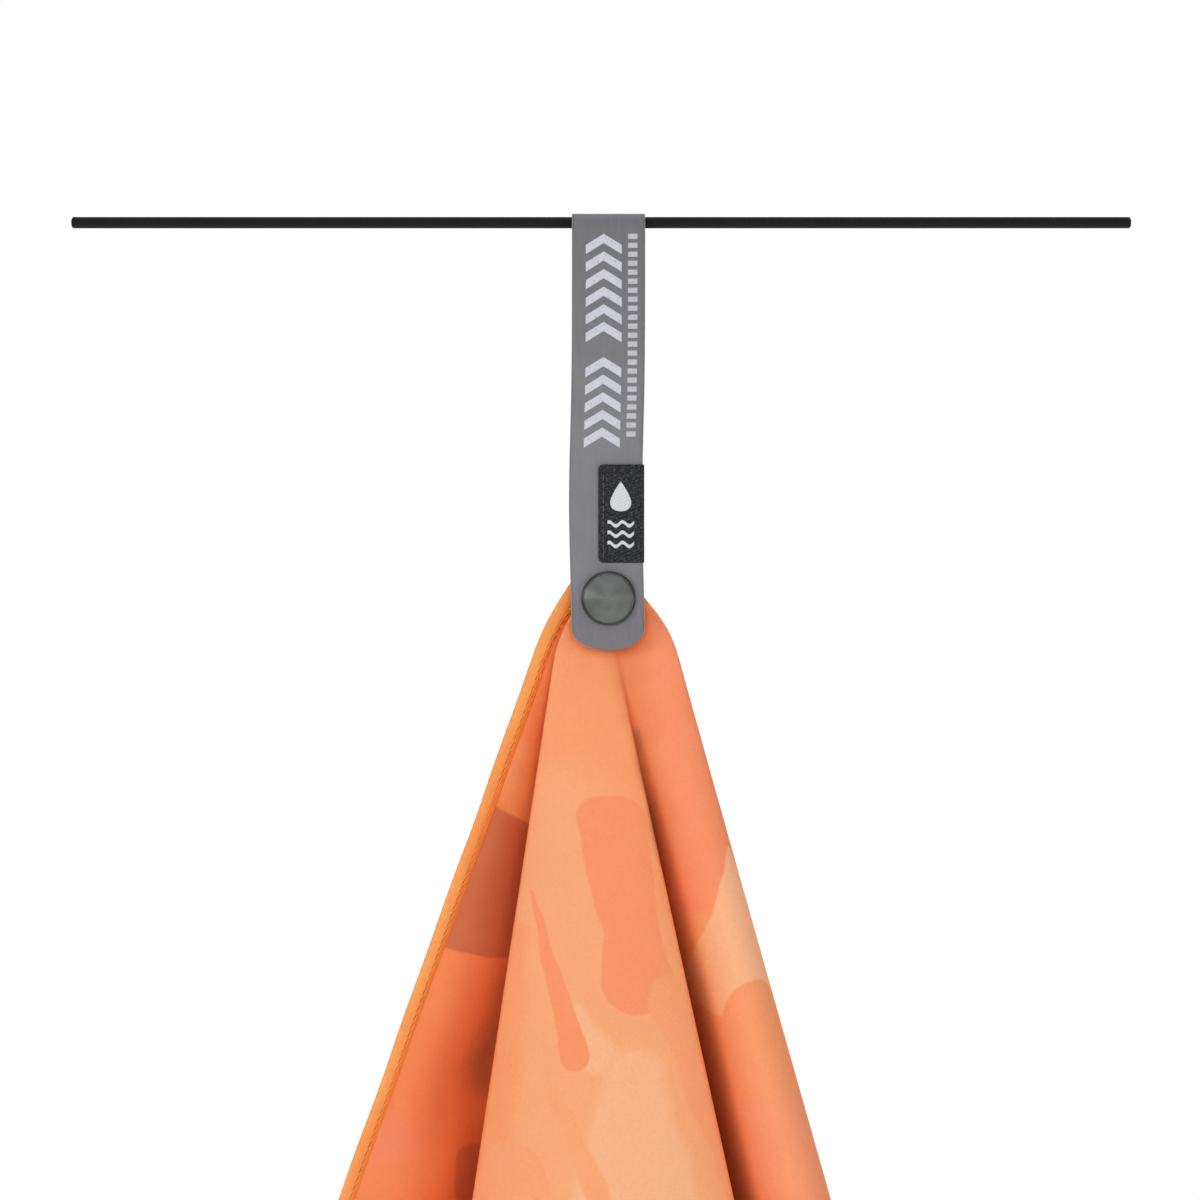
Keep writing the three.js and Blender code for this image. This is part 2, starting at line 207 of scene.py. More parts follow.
def on_cloth(u, v, lift):
    """A point at a height over the middle of the cloth, on the side of its printed face."""
    u, v, lift = np.broadcast_arrays(np.asarray(u, float), np.asarray(v, float), np.asarray(lift, float))
    return hang(u, v) + face_side(u, v) * lift[..., None]


# %% [markdown]
# ## Making meshes
#
# Every piece is built from rows of points: a sheet is a grid with two sides, a hem or a tape is a section
# carried along a path, a thread is a small tube. Each one is a closed body, because the real ones have
# thickness and light shows it at every edge. Each keeps its flat coordinates, in millimetres, for its weave.

# %% Mesh tools
def outward(points, faces):
    """The faces, all turned round if the closed body would be inside out."""
    volume = 0.0
    for size in sorted({len(f) for f in faces}):
        group = np.array([f for f in faces if len(f) == size])
        for k in range(1, size - 1):
            a, b, c = points[group[:, 0]], points[group[:, k]], points[group[:, k + 1]]
            volume += float(np.einsum("ij,ij->", a, np.cross(b, c)))
    return faces if volume > 0 else [tuple(reversed(f)) for f in faces]


def build(name, points, faces, flat, materials, which=None, sharp=40):
    """A mesh object from points in millimetres. which gives each face's material."""
    points = np.asarray(points, float)
    faces = outward(points, [tuple(int(i) for i in f) for f in faces])
    mesh = bpy.data.meshes.new(name)
    mesh.from_pydata((points * MM).tolist(), [], faces)
    layer = mesh.uv_layers.new(name="flat")
    corner_points = np.zeros(len(mesh.loops), int)
    mesh.loops.foreach_get("vertex_index", corner_points)
    layer.data.foreach_set("uv", np.asarray(flat, float)[corner_points, :2].ravel())
    for material in materials:
        mesh.materials.append(material)
    if which is not None:
        mesh.polygons.foreach_set("material_index", np.asarray(which, int))
    mesh.polygons.foreach_set("use_smooth", np.ones(len(mesh.polygons), bool))
    mesh.set_sharp_from_angle(angle=math.radians(sharp))
    mesh.update()
    piece = bpy.data.objects.new(name, mesh)
    bpy.context.scene.collection.objects.link(piece)
    print(f"{name}: {len(mesh.polygons)} faces")
    return piece


def grid_faces(rows, cols, closed_rows=False, closed_cols=False, start=0):
    """Quads between the points of a grid, as an array."""
    i = np.arange(rows if closed_rows else rows - 1)[:, None]
    j = np.arange(cols if closed_cols else cols - 1)[None]
    i2, j2 = (i + 1) % rows, (j + 1) % cols
    quads = np.stack(np.broadcast_arrays(i * cols + j, i * cols + j2, i2 * cols + j2, i2 * cols + j), -1)
    return quads.reshape(-1, 4) + start


def swept(name, sections, flat, materials, which=None, sharp=40):
    """A closed body from rows of points, each row one closed section."""
    rows, cols = sections.shape[:2]
    faces = grid_faces(rows, cols, closed_cols=True).tolist()
    faces.append(list(range(cols))[::-1])
    faces.append([(rows - 1) * cols + k for k in range(cols)])
    if which is not None:
        which = np.concatenate([np.tile(which, rows - 1), [which[0], which[0]]])
    return build(name, sections.reshape(-1, 3), faces, flat.reshape(-1, 2), materials, which, sharp)


def turned(name, profile, materials, which=None, segments=96, sharp=30):
    """A piece turned about the press stud's axis, from (radius, y) points in a closed line or from axis to axis."""
    profile = np.asarray(profile, float)
    turn = np.linspace(0, 2 * np.pi, segments, endpoint=False)
    r, y = profile[:, 0][:, None], profile[:, 1][:, None]
    points = np.stack([r * np.cos(turn), y + 0 * turn, r * np.sin(turn) + STUD_Z], -1)
    flat = np.stack([r + 0 * turn, y + 0 * turn], -1)
    rows = len(profile)
    open_ended = profile[0, 0] < 1e-6
    faces = grid_faces(rows, segments, closed_rows=not open_ended, closed_cols=True)
    if which is not None:
        which = np.repeat(which, segments)
    if not open_ended:
        return build(name, points.reshape(-1, 3), faces, flat.reshape(-1, 2), materials, which, sharp)
    points, flat = points.reshape(-1, 3), flat.reshape(-1, 2)
    kept, caps = faces[segments : len(faces) - segments], []
    for row, middle in ((1, 0), (rows - 2, rows - 1)):
        ring = [row * segments + k for k in range(segments)]
        tip = middle * segments
        for k in range(segments):
            a, b = ring[k], ring[(k + 1) % segments]
            caps.append((tip, b, a) if row == 1 else (tip, a, b))
    faces = [tuple(f) for f in kept] + caps
    used = np.unique(np.concatenate([np.ravel(f) for f in faces]))
    renumber = np.zeros(len(points), int)
    renumber[used] = np.arange(len(used))
    faces = [tuple(renumber[list(f)]) for f in faces]
    if which is not None:
        which = np.concatenate([which[segments : len(which) - segments], which[:segments], which[-segments:]])
    return build(name, points[used], faces, flat[used], materials, which, sharp)


def threads(name, paths, ups, radius, material, sides=6, blunt=0.55):
    """Many short threads at once. paths and ups are [thread, point, xyz]."""
    count, steps = paths.shape[:2]
    along = unit(np.gradient(paths, axis=1))
    out = unit(ups - along * np.sum(ups * along, -1, keepdims=True))
    beside = np.cross(along, out)
    turn = np.linspace(0, 2 * np.pi, sides, endpoint=False)
    size = np.full(steps, radius)
    size[[0, -1]] *= blunt
    ring = out[:, :, None] * np.cos(turn)[:, None] + beside[:, :, None] * np.sin(turn)[:, None]
    points = paths[:, :, None] + ring * size[:, None, None]
    length = np.cumsum(np.linalg.norm(np.diff(paths, axis=1, prepend=paths[:, :1]), axis=-1), 1)
    flat = np.stack(np.broadcast_arrays(length[:, :, None], turn * radius), -1)
    one = grid_faces(steps, sides, closed_cols=True)
    every = (one[None] + (np.arange(count) * steps * sides)[:, None, None]).reshape(-1, 4).tolist()
    for k in range(count):
        first = k * steps * sides
        every.append([first + i for i in range(sides)][::-1])
        every.append([first + (steps - 1) * sides + i for i in range(sides)])
    return build(name, points.reshape(-1, 3), every, flat.reshape(-1, 2), [material], sharp=80)


# %% [markdown]
# ## Tools for the materials
#
# Each material is wired from a few shared effects, which are node groups with named sockets: a brush stroke of
# print, a fine knit, a plain weave, a twisted thread. They give out masks, colours and heights only, so the
# same effect can serve cloth, tape and label with different numbers.

# %% Node tools
def tone(red, green, blue):
    """A colour as a screen shows it, 0 to 255, turned into the share of light that it returns."""
    parts = [c / 255 for c in (red, green, blue)]
    return (*[c / 12.92 if c <= 0.04045 else ((c + 0.055) / 1.055) ** 2.4 for c in parts], 1.0)


class Wiring:
    """Adds nodes to a node tree and joins them."""

    def __init__(self, tree):
        self.tree = tree

    def feed(self, socket, value):
        if isinstance(value, bpy.types.NodeSocket):
            self.tree.links.new(value, socket)
        else:
            socket.default_value = value

    def add(self, kind, inputs=None, **settings):
        node = self.tree.nodes.new(kind)
        for key, value in settings.items():
            setattr(node, key, value)
        for key, value in (inputs or {}).items():
            self.feed(node.inputs[key], value)
        return node

    def math(self, operation, *values):
        node = self.add("ShaderNodeMath", operation=operation)
        for socket, value in zip(node.inputs, values):
            self.feed(socket, value)
        return node.outputs[0]

    def vector(self, operation, *values, result=0):
        node = self.add("ShaderNodeVectorMath", operation=operation)
        for socket, value in zip(node.inputs, values):
            self.feed(socket, value)
        return node.outputs[result]

    def scaled(self, vector, by):
        node = self.add("ShaderNodeVectorMath", {"Scale": by}, operation="SCALE")
        self.feed(node.inputs[0], vector)
        return node.outputs[0]

    def parts(self, vector):
        return self.add("ShaderNodeSeparateXYZ", {"Vector": vector}).outputs

    def joined(self, x=0.0, y=0.0, z=0.0):
        return self.add("ShaderNodeCombineXYZ", {"X": x, "Y": y, "Z": z}).outputs[0]

    def mix(self, factor, a, b):
        node = self.add("ShaderNodeMix", data_type="RGBA")
        for index, value in ((0, factor), (6, a), (7, b)):
            self.feed(node.inputs[index], value)
        return node.outputs[2]

    def ramp(self, value, low, high, start=0.0, end=1.0, kind="SMOOTHSTEP"):
        """start below low, end above high, with an even ramp between."""
        inputs = {"Value": value, "From Min": low, "From Max": high, "To Min": start, "To Max": end}
        return self.add("ShaderNodeMapRange", inputs, interpolation_type=kind).outputs[0]

    def noise(self, vector, scale, detail=2.0, roughness=0.5, distortion=0.0, colour=False):
        inputs = {"Vector": vector, "Scale": scale, "Detail": detail, "Roughness": roughness}
        node = self.add("ShaderNodeTexNoise", {**inputs, "Distortion": distortion})
        return node.outputs["Color" if colour else "Fac"]

    def group(self, tree, **inputs):
        named = {key.replace("_", " "): value for key, value in inputs.items()}
        return self.add("ShaderNodeGroup", named, node_tree=tree).outputs


def new_group(name, inputs, outputs):
    """An empty effect: its wiring, its inputs by name, and its outputs by name."""
    tree = bpy.data.node_groups.new(name, "ShaderNodeTree")
    kinds = {"value": "NodeSocketFloat", "vector": "NodeSocketVector", "colour": "NodeSocketColor"}
    for label, kind, default in inputs:
        socket = tree.interface.new_socket(name=label, in_out="INPUT", socket_type=kinds[kind])
        if default is not None:
            socket.default_value = default
    for label, kind in outputs:
        tree.interface.new_socket(name=label, in_out="OUTPUT", socket_type=kinds[kind])
    entry = tree.nodes.new("NodeGroupInput")
    leave = tree.nodes.new("NodeGroupOutput")
    return Wiring(tree), entry.outputs, leave.inputs


# %% [markdown]
# ### The brush stroke
#
# Each printed shape is one stroke: a straight run from one point to another that is as wide as asked at each
# end. The distance from the run says how far inside the shape a point is. Drawn outlines would need a picture,
# and a noise alone would not put a shape where it is wanted.

# %% Shared effects: brush stroke
w, given, result = new_group(
    "brush stroke",
    [
        ("Point", "vector", None),
        ("Start", "vector", None),
        ("End", "vector", None),
        ("Start width", "value", 5.0),
        ("End width", "value", 5.0),
        ("Softness", "value", 0.7),
    ],
    [("Mask", "value")],
)
run = w.vector("SUBTRACT", given["End"], given["Start"])
away = w.vector("SUBTRACT", given["Point"], given["Start"])
dot = w.vector("DOT_PRODUCT", away, run, result=1)
size = w.vector("DOT_PRODUCT", run, run, result=1)
along = w.ramp(w.math("DIVIDE", dot, size), 0.0, 1.0, kind="LINEAR")
apart = w.vector("LENGTH", w.vector("SUBTRACT", away, w.scaled(run, along)), result=1)
widening = w.math("MULTIPLY", w.math("SUBTRACT", given["End width"], given["Start width"]), along)
inside = w.math("SUBTRACT", w.math("ADD", given["Start width"], widening), apart)
w.feed(result["Mask"], w.ramp(w.math("DIVIDE", inside, given["Softness"]), -0.5, 0.5))
brush_stroke = w.tree

# %% [markdown]
# ### The knit
#
# Brushed microfibre shows hardly any loops. What is left is a faint grid of them, a haze of cut fibres over it,
# and slow tufts where the nap lies one way or the other. A woven look would be too regular for this cloth.

# %% Fine knit
w, given, result = new_group(
    "fine knit",
    [("Point", "vector", None), ("Pitch", "value", 0.55)],
    [("Height", "value"), ("Shade", "value")],
)
x, y, _ = w.parts(given["Point"])
turn_x = w.math("DIVIDE", w.math("MULTIPLY", x, 2 * math.pi), given["Pitch"])
turn_y = w.math("DIVIDE", w.math("MULTIPLY", y, 2 * math.pi), given["Pitch"])
wavy_rows = w.math("SINE", w.math("ADD", turn_y, w.math("COSINE", turn_x)))
loops = w.math("MULTIPLY", w.math("SINE", turn_x), wavy_rows)
fibres = w.noise(given["Point"], 2.4, 3.0, 0.65)
tufts = w.noise(given["Point"], 0.32, 2.0, 0.55)
grain = w.noise(given["Point"], 0.85, 2.0, 0.6)
height = w.math("ADD", w.math("MULTIPLY", loops, 0.25), w.math("ADD", fibres, w.math("MULTIPLY", tufts, 0.7)))
w.feed(result["Height"], height)
shade = w.math("ADD", w.math("MULTIPLY", grain, 0.7), w.math("MULTIPLY", fibres, 0.3))
w.feed(result["Shade"], w.ramp(w.math("ADD", shade, w.math("MULTIPLY", loops, 0.05)), 0.3, 0.7))
fine_knit = w.tree

# %% [markdown]
# ### The weave
#
# The tape, the label and the line's cover are woven: one yarn goes over and under the other, so two sine waves
# at right angles say which yarn is on top. A slant turns the same pattern into the label's twill.

# %% Plain weave
w, given, result = new_group(
    "plain weave",
    [("Point", "vector", None), ("Pitch", "value", 0.6), ("Slant", "value", 0.0)],
    [("Height", "value"), ("Over", "value")],
)
x, y, _ = w.parts(given["Point"])
across_yarn = w.math("DIVIDE", w.math("ADD", x, w.math("MULTIPLY", y, given["Slant"])), given["Pitch"])
along_yarn = w.math("DIVIDE", y, given["Pitch"])
ribs = w.math("SINE", w.math("MULTIPLY", across_yarn, 2 * math.pi))
picks = w.math("SINE", w.math("MULTIPLY", along_yarn, 2 * math.pi))
over = w.ramp(w.math("MULTIPLY", ribs, picks), -0.3, 0.3)
rounded = w.math("MAXIMUM", w.math("ABSOLUTE", ribs), w.math("ABSOLUTE", picks))
w.feed(result["Height"], w.math("ADD", rounded, w.math("MULTIPLY", w.noise(given["Point"], 3.0, 2.0), 0.5)))
w.feed(result["Over"], over)
plain_weave = w.tree

# %% [markdown]
# ### The thread
#
# Sewing thread is two or three strands laid round each other. Slanting ridges along its length show the lay.

# %% Twisted thread
w, given, result = new_group(
    "twisted thread",
    [("Point", "vector", None), ("Pitch", "value", 0.45)],
    [("Height", "value"), ("Shade", "value")],
)
x, y, _ = w.parts(given["Point"])
lay = w.math("DIVIDE", w.math("ADD", x, w.math("MULTIPLY", y, 1.2)), given["Pitch"])
strands = w.math("ABSOLUTE", w.math("SINE", w.math("MULTIPLY", lay, math.pi)))
w.feed(result["Height"], strands)
w.feed(result["Shade"], w.ramp(w.math("ADD", strands, w.noise(given["Point"], 4.0)), 0.4, 1.4))
twisted_thread = w.tree
print("shared effects:", [t.name for t in bpy.data.node_groups])

# %% [markdown]
# ## Starting a material
#
# Every material starts the same way: one Principled shader, and the flat coordinates that each piece carries
# in millimetres. A weave that is laid out in those coordinates keeps its size on every piece and in every fold.

# %% Starting a material
def new_material(name, **principled):
    """A material: its wiring, its Principled shader, and the flat coordinates in millimetres."""
    material = bpy.data.materials.new(name)
    material.use_nodes = True
    wiring = Wiring(material.node_tree)
    shader = material.node_tree.nodes["Principled BSDF"]
    for key, value in principled.items():
        shader.inputs[key.replace("_", " ")].default_value = value
    flat = wiring.add("ShaderNodeUVMap", uv_map="flat").outputs[0]
    return material, wiring, shader, flat


def bumped(wiring, shader, height, depth, strength=1.0):
    """Raises the surface by the height, at most depth millimetres."""
    bump = wiring.add("ShaderNodeBump", {"Height": height, "Distance": depth * MM, "Strength": strength})
    wiring.feed(shader.inputs["Normal"], bump.outputs[0])


# %% [markdown]
# ## The print on the cloth
#
# The face is printed with broad, soft-edged brush shapes in salmon, coral and apricot on light orange, like a
# painted camouflage. The large shapes near the held corner are laid one by one, as a printer's screens would
# lay them. The rest of the sheet repeats the same colours in shapes of the same size from a slow noise.
#
# Three of the strokes are not print. They are shade that is painted into the folds: one soft dark run beside
# the left recess and two down the right valley. Light alone left those folds too pale here. They are part of
# the cloth's colour, so they stay whatever the light is. A towel for another scene should leave them out.
#
# The knit is brushed, so it has no shine, only a faint bloom of fibre at grazing angles.

# %% Cloth material
LIGHT_ORANGE = tone(255, 149, 90)
APRICOT = tone(255, 186, 142)
PALE_ORANGE = tone(255, 164, 110)
SALMON = tone(255, 133, 82)
CORAL = tone(255, 124, 82)
RUST = tone(196, 56, 18)
DEEP_ORANGE = tone(255, 123, 54)

FOLD_DEPTH = 0.028  # metres: a fold this deep loses most of its light
REDDER = (0.98, 0.62, 0.42)  # what a shallow fold does to red, green and blue
DARKER = (0.42, 0.26, 0.18)  # what a deep fold does after that


def deepened(w, colour):
    """Light in a fold goes from cloth to cloth, so it comes back redder, and darker at the bottom.

    How open a point is to the room is measured on the mesh and put into the colour, on top of the real shade.
    """
    open_share = w.add("ShaderNodeAmbientOcclusion", {"Distance": FOLD_DEPTH}, samples=8).outputs["AO"]
    redder = w.mix(w.ramp(open_share, 0.93, 0.5), colour, w.vector("MULTIPLY", colour, REDDER))
    return w.mix(w.ramp(open_share, 0.62, 0.22), redder, w.vector("MULTIPLY", redder, DARKER))


# start, end, half widths at each, how soft the edge is, colour
STROKES = [
    ((24, -2), (205, -2), 5, 62, 1.5, DEEP_ORANGE),  # left recess
    ((66, 4), (72, 8), 6, 5, 5.0, tone(255, 146, 84)),
    ((74, 10), (83, 14), 4, 4, 1.0, tone(255, 150, 78)),
    ((101, -6), (100, 13), 22, 20, 0.8, RUST),
    ((177, 2), (177, 12), 7, 5, 0.8, CORAL),
    ((118, 30), (150, 29), 4, 7, 9.0, tone(182, 74, 26)),  # painted shade
    ((176, 34), (186, 38), 6, 6, 1.2, tone(206, 92, 46)),
    ((200, 48), (226, 56), 7, 8, 1.0, tone(226, 100, 56)),
    ((66, 34), (126, 70), 12, 34, 14.0, PALE_ORANGE),  # front panel
    ((134, 88), (180, 116), 22, 34, 12.0, PALE_ORANGE),
    ((120, 82), (178, 113), 7, 24, 4.0, APRICOT),
    ((104, 38), (170, 62), 3, 9, 5.0, LIGHT_ORANGE),
    ((112, 62), (120, 72), 2, 5, 3.0, APRICOT),
    ((64, 44), (84, 60), 8.8, 6.5, 0.8, SALMON),
    ((84, 60), (97, 70), 6.5, 9, 0.8, SALMON),
    ((97, 81), (152, 149), 7.5, 6.5, 1.2, tone(255, 152, 97)),
    ((92, 36), (108, 52), 0.6, 2.4, 0.7, SALMON),
    ((108, 52), (123, 67), 2.4, 4.2, 0.7, SALMON),
    ((134, 65), (156, 94), 1.8, 3.4, 1.2, tone(255, 160, 106)),
    ((163, 68), (176, 70), 11, 12, 0.8, tone(255, 155, 102)),
    ((14, 24), (56, 71), 7, 14, 3.0, CORAL),  # right panel
    ((16, 16.5), (62, 65), 3.0, 5.5, 6.0, tone(232, 100, 42)),  # painted shade down the right valley
    ((37, 37), (62, 61), 2.0, 4.0, 4.0, tone(132, 38, 10)),  # and at its bottom
    ((46, 78), (70, 100), 1.2, 14, 0.9, APRICOT),
    ((77, 113), (92, 132), 11, 16, 1.0, tone(255, 142, 88)),
    ((110, 150), (150, 205), 30, 34, 0.9, tone(255, 140, 98)),
]


# where to look in the noise, how high it has to be, and the colour laid there: the print beyond the strokes
REPEATED = [(3.1, 0.53, SALMON), (17.7, 0.56, APRICOT), (41.3, 0.6, CORAL), (63.9, 0.66, RUST)]


def printed_cloth(name, fade):
    """The printed knit. fade is how far the print pales, for the sheet's other side."""
    material, w, shader, flat = new_material(name, Roughness=0.9, Sheen_Weight=0.05, Sheen_Roughness=0.45)
    shader.inputs["Specular IOR Level"].default_value = 0.15
    shader.inputs["Sheen Tint"].default_value = tone(255, 205, 170)
    wander = w.vector("SUBTRACT", w.noise(flat, 0.07, 2.0, colour=True), (0.5, 0.5, 0.5))
    point = w.vector("ADD", flat, w.vector("MULTIPLY", wander, (4.5, 4.5, 0.0)))
    far = w.ramp(w.vector("LENGTH", flat, result=1), 175.0, 225.0)
    drawn = w.vector("MULTIPLY", point, (0.011, 0.019, 1.0))
    colour = LIGHT_ORANGE
    for seed, low, patch in REPEATED:
        shapes = w.noise(w.vector("ADD", drawn, (seed, seed * 0.7, seed)), 1.0, 0.6, 0.4, 0.25)
        strength = 0.5 if patch is RUST else 0.9
        mask = w.math("MULTIPLY", w.ramp(shapes, low - 0.004, low + 0.004), w.math("MULTIPLY", far, strength))
        colour = w.mix(mask, colour, patch)
    for start, end, start_width, end_width, softness, patch in STROKES:
        stroke = w.group(
            brush_stroke, Point=point, Start=(*start, 0), End=(*end, 0),
            Start_width=start_width, End_width=end_width, Softness=softness,
        )
        colour = w.mix(stroke["Mask"], colour, patch)
    colour = w.mix(fade, colour, tone(255, 196, 150))
    knit = w.group(fine_knit, Point=flat)
    colour = w.mix(w.math("MULTIPLY", knit["Shade"], 0.13), colour, tone(246, 118, 58))
    blotch = w.ramp(w.noise(flat, 0.09, 3.0), 0.35, 0.65)
    colour = w.mix(w.math("MULTIPLY", blotch, 0.05), colour, tone(255, 190, 140))
    colour = deepened(w, colour)
    w.feed(shader.inputs["Base Color"], colour)
    w.feed(shader.inputs["Roughness"], w.ramp(knit["Shade"], 0.0, 1.0, 0.82, 0.95))
    bumped(w, shader, knit["Height"], 0.18, 0.65)
    return material


cloth_face = printed_cloth("cloth face", 0.0)
cloth_reverse = printed_cloth("cloth reverse", 0.3)
print("strokes laid on the print:", len(STROKES))

# %% [markdown]
# ## The sheet
#
# The knit is 0.8 mm thick. It is cut square and its edges disappear into the hems, so the sheet stops just
# inside them. The rows of the mesh follow the pleats out from the corner, closer together near the tape.

# %% The cloth
CLOTH_THICK = 0.8
TUCK = 0.9  # how far the sheet stops inside its hems' folded edges
CORNER_TRIM = 5.0
ROWS, LOWER_COLUMNS, FAR_COLUMNS = 130, 100, 195

long_run = TOWEL_LENGTH - 2 * TUCK
short_run = TOWEL_WIDTH - 2 * TUCK
out_share = CORNER_TRIM / long_run + (1 - CORNER_TRIM / long_run) * np.linspace(0, 1, ROWS) ** 1.6
lower = [(long_run, short_run * t) for t in np.linspace(0, 1, LOWER_COLUMNS, endpoint=False)]
far = [(long_run * t, short_run) for t in np.linspace(1, 0, FAR_COLUMNS) ** 1.1]
rim = np.array(lower + far)
grid = TUCK + out_share[:, None, None] * rim[None]
u, v = grid[..., 0], grid[..., 1]
layers = [on_cloth(u, v, lift).reshape(-1, 3) for lift in (-CLOTH_THICK / 2, CLOTH_THICK / 2)]
rows, cols = grid.shape[:2]
half = rows * cols
below = grid_faces(rows, cols)
above = grid_faces(rows, cols, start=half)[:, ::-1]
around = np.concatenate([
    np.arange(cols),
    np.arange(1, rows) * cols + cols - 1,
    (rows - 1) * cols + np.arange(cols - 2, -1, -1),
    np.arange(rows - 2, 0, -1) * cols,
])
following = np.roll(around, -1)
walls = np.stack([following, around, around + half, following + half], -1)
cloth_sides = np.concatenate([np.ones(len(below)), np.zeros(len(above) + len(walls))])
cloth = build(
    "cloth_sheet", np.concatenate(layers), np.concatenate([below, above, walls]),
    np.concatenate([grid.reshape(-1, 2)] * 2), [cloth_face, cloth_reverse], cloth_sides, sharp=60,
)
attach(cloth, "towel")
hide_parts("towel_cloth")
hang_low = np.concatenate(layers)[:, 2].min()
print("the sheet hangs down to", round(float(hang_low)), "mm")

# %% [markdown]
# ## Hems
#
# Each edge is folded over and sewn down with one row of stitches close to the fold's inner edge. The fold is
# round at the outside, and the row of stitches presses a shallow channel into it. Every stitch pinches the
# hem a little, so its edge is finely puckered. Threads are sewn in a stronger orange than the cloth.

# %% Hem material
def solid_hem():
    material, w, shader, flat = new_material("hem", Roughness=0.88, Sheen_Weight=0.15, Sheen_Roughness=0.4)
    shader.inputs["Specular IOR Level"].default_value = 0.15
    s, across_hem, _ = w.parts(flat)
    knit = w.group(fine_knit, Point=flat)
    # painted shade: the hem turns deeper orange from its stitch channel to its inner edge, in the crease against
    # the cloth
    colour = w.mix(w.ramp(across_hem, 2.6, 3.6), tone(255, 172, 98), tone(255, 138, 58))
    colour = w.mix(w.math("MULTIPLY", knit["Shade"], 0.2), colour, tone(206, 104, 46))
    patches = w.ramp(w.noise(w.joined(s), 0.02, 1.0), 0.45, 0.6)
    colour = w.mix(w.math("MULTIPLY", patches, 0.35), colour, tone(250, 142, 74))
    colour = deepened(w, colour)
    w.feed(shader.inputs["Base Color"], colour)
    bumped(w, shader, knit["Height"], 0.12, 0.6)
    return material


def sewing_thread(name, light, dark, roughness=0.55):
    material, w, shader, flat = new_material(name, Roughness=roughness)
    shader.inputs["Specular IOR Level"].default_value = 0.35
    twist = w.group(twisted_thread, Point=flat)
    w.feed(shader.inputs["Base Color"], w.mix(twist["Shade"], dark, light))
    bumped(w, shader, twist["Height"], 0.06, 0.8)
    return material


hem_material = solid_hem()
hem_thread_material = sewing_thread("hem thread", tone(255, 166, 84), tone(232, 122, 40))

# %% [markdown]
# ### Folding and sewing them
#
# A hem is the same folded section all the way along an edge, so it is carried along that edge on the hung
# cloth. The stitches are separate short threads, because on the real hem each one dips in and comes up again,
# and a printed line would lie flat. Each is laid a little unevenly, as a machine does on stretchy cloth.

# %% Hems and their stitches
STITCH = 2.5  # mm from one stitch to the next
STITCH_LINE = 3.3  # mm in from the folded edge
THREAD_RADIUS = 0.24
# (distance in from the folded edge, height over mid-cloth), round the fold from face to reverse
HEM_SECTION = np.array([
    (4.4, 0.36), (4.28, 0.52), (3.95, 0.62), (3.6, 0.58), (3.3, 0.44), (3.0, 0.58), (2.6, 0.70),
    (1.9, 0.76), (1.2, 0.74), (0.6, 0.60), (0.2, 0.36), (0.0, 0.0), (0.2, -0.36), (0.6, -0.56),
    (1.2, -0.66), (1.9, -0.68), (2.6, -0.64), (3.0, -0.56), (3.3, -0.44), (3.6, -0.56),
    (3.95, -0.6), (4.28, -0.5), (4.4, -0.36),
])


def edge_point(edge, s, inset):
    """The flat point at a distance along an edge and a distance in from it."""
    s, inset = np.broadcast_arrays(s, inset)
    return {
        "long": (s, inset),
        "short": (inset, s),
        "lower": (TOWEL_LENGTH - inset, s),
        "far": (s, TOWEL_WIDTH - inset),
    }[edge]


def hem(edge, start, end):
    """A folded hem along one edge, puckered by its stitches."""
    s = np.linspace(start, end, int((end - start) / STITCH * 3) + 1)[:, None]
    inset, lift = HEM_SECTION[:, 0][None], HEM_SECTION[:, 1][None]
    pinch = 0.5 + 0.5 * np.cos(2 * np.pi * s / STITCH)
    near_line = np.exp(-((inset - STITCH_LINE) / 0.8) ** 2)
    slow = 0.12 * np.sin(s / 6.1) + 0.1 * np.sin(s / 13.7 + 2)
    lift = lift * (1 + 0.10 * slow / 0.12 - 0.22 * pinch * near_line)
    inset = inset + (0.10 * pinch + slow) * smooth(3.2, 0.0, inset)
    closing = np.ones(len(s))
    closing[[0, -1]] = 0.7
    inset_flat = np.clip(inset, 0.0, None)
    u, v = edge_point(edge, s, inset_flat)
    points = on_cloth(u, v, lift * closing[:, None])
    flat = np.stack(np.broadcast_arrays(s, inset_flat), -1)
    piece = swept(f"hem_fold_{edge}", points, flat, [hem_material], sharp=75)
    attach(piece, "towel")
    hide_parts(f"hem_{edge}")
    return piece


def stitches(edge, start, end):
    """Lockstitches along a hem, on the face and on the reverse."""
    first = np.arange(start, end - STITCH, STITCH)[:, None]
    t = np.array([0.04, 0.2, 0.5, 0.8, 0.96])
    rise = np.array([0.34, 0.62, 0.74, 0.62, 0.34])
    uneven = rng.normal(0, 0.05, (len(first), 1))
    paths, ups = [], []
    for face in (1, -1):
        s = first + t[None] * STITCH * 0.98 + (0 if face > 0 else STITCH / 2)
        inset = STITCH_LINE + 0.32 * (t[None] - 0.5) * face + uneven
        u, v = edge_point(edge, s, inset)
        paths.append(on_cloth(u, v, face * rise[None]))
        ups.append(face_side(u, v) * face)
    paths, ups = np.concatenate(paths), np.concatenate(ups)
    piece = threads(f"hem_stitches_{edge}", paths, ups, THREAD_RADIUS, hem_thread_material)
    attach(piece, "towel")
    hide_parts(f"hem_thread_{edge}")
    return piece


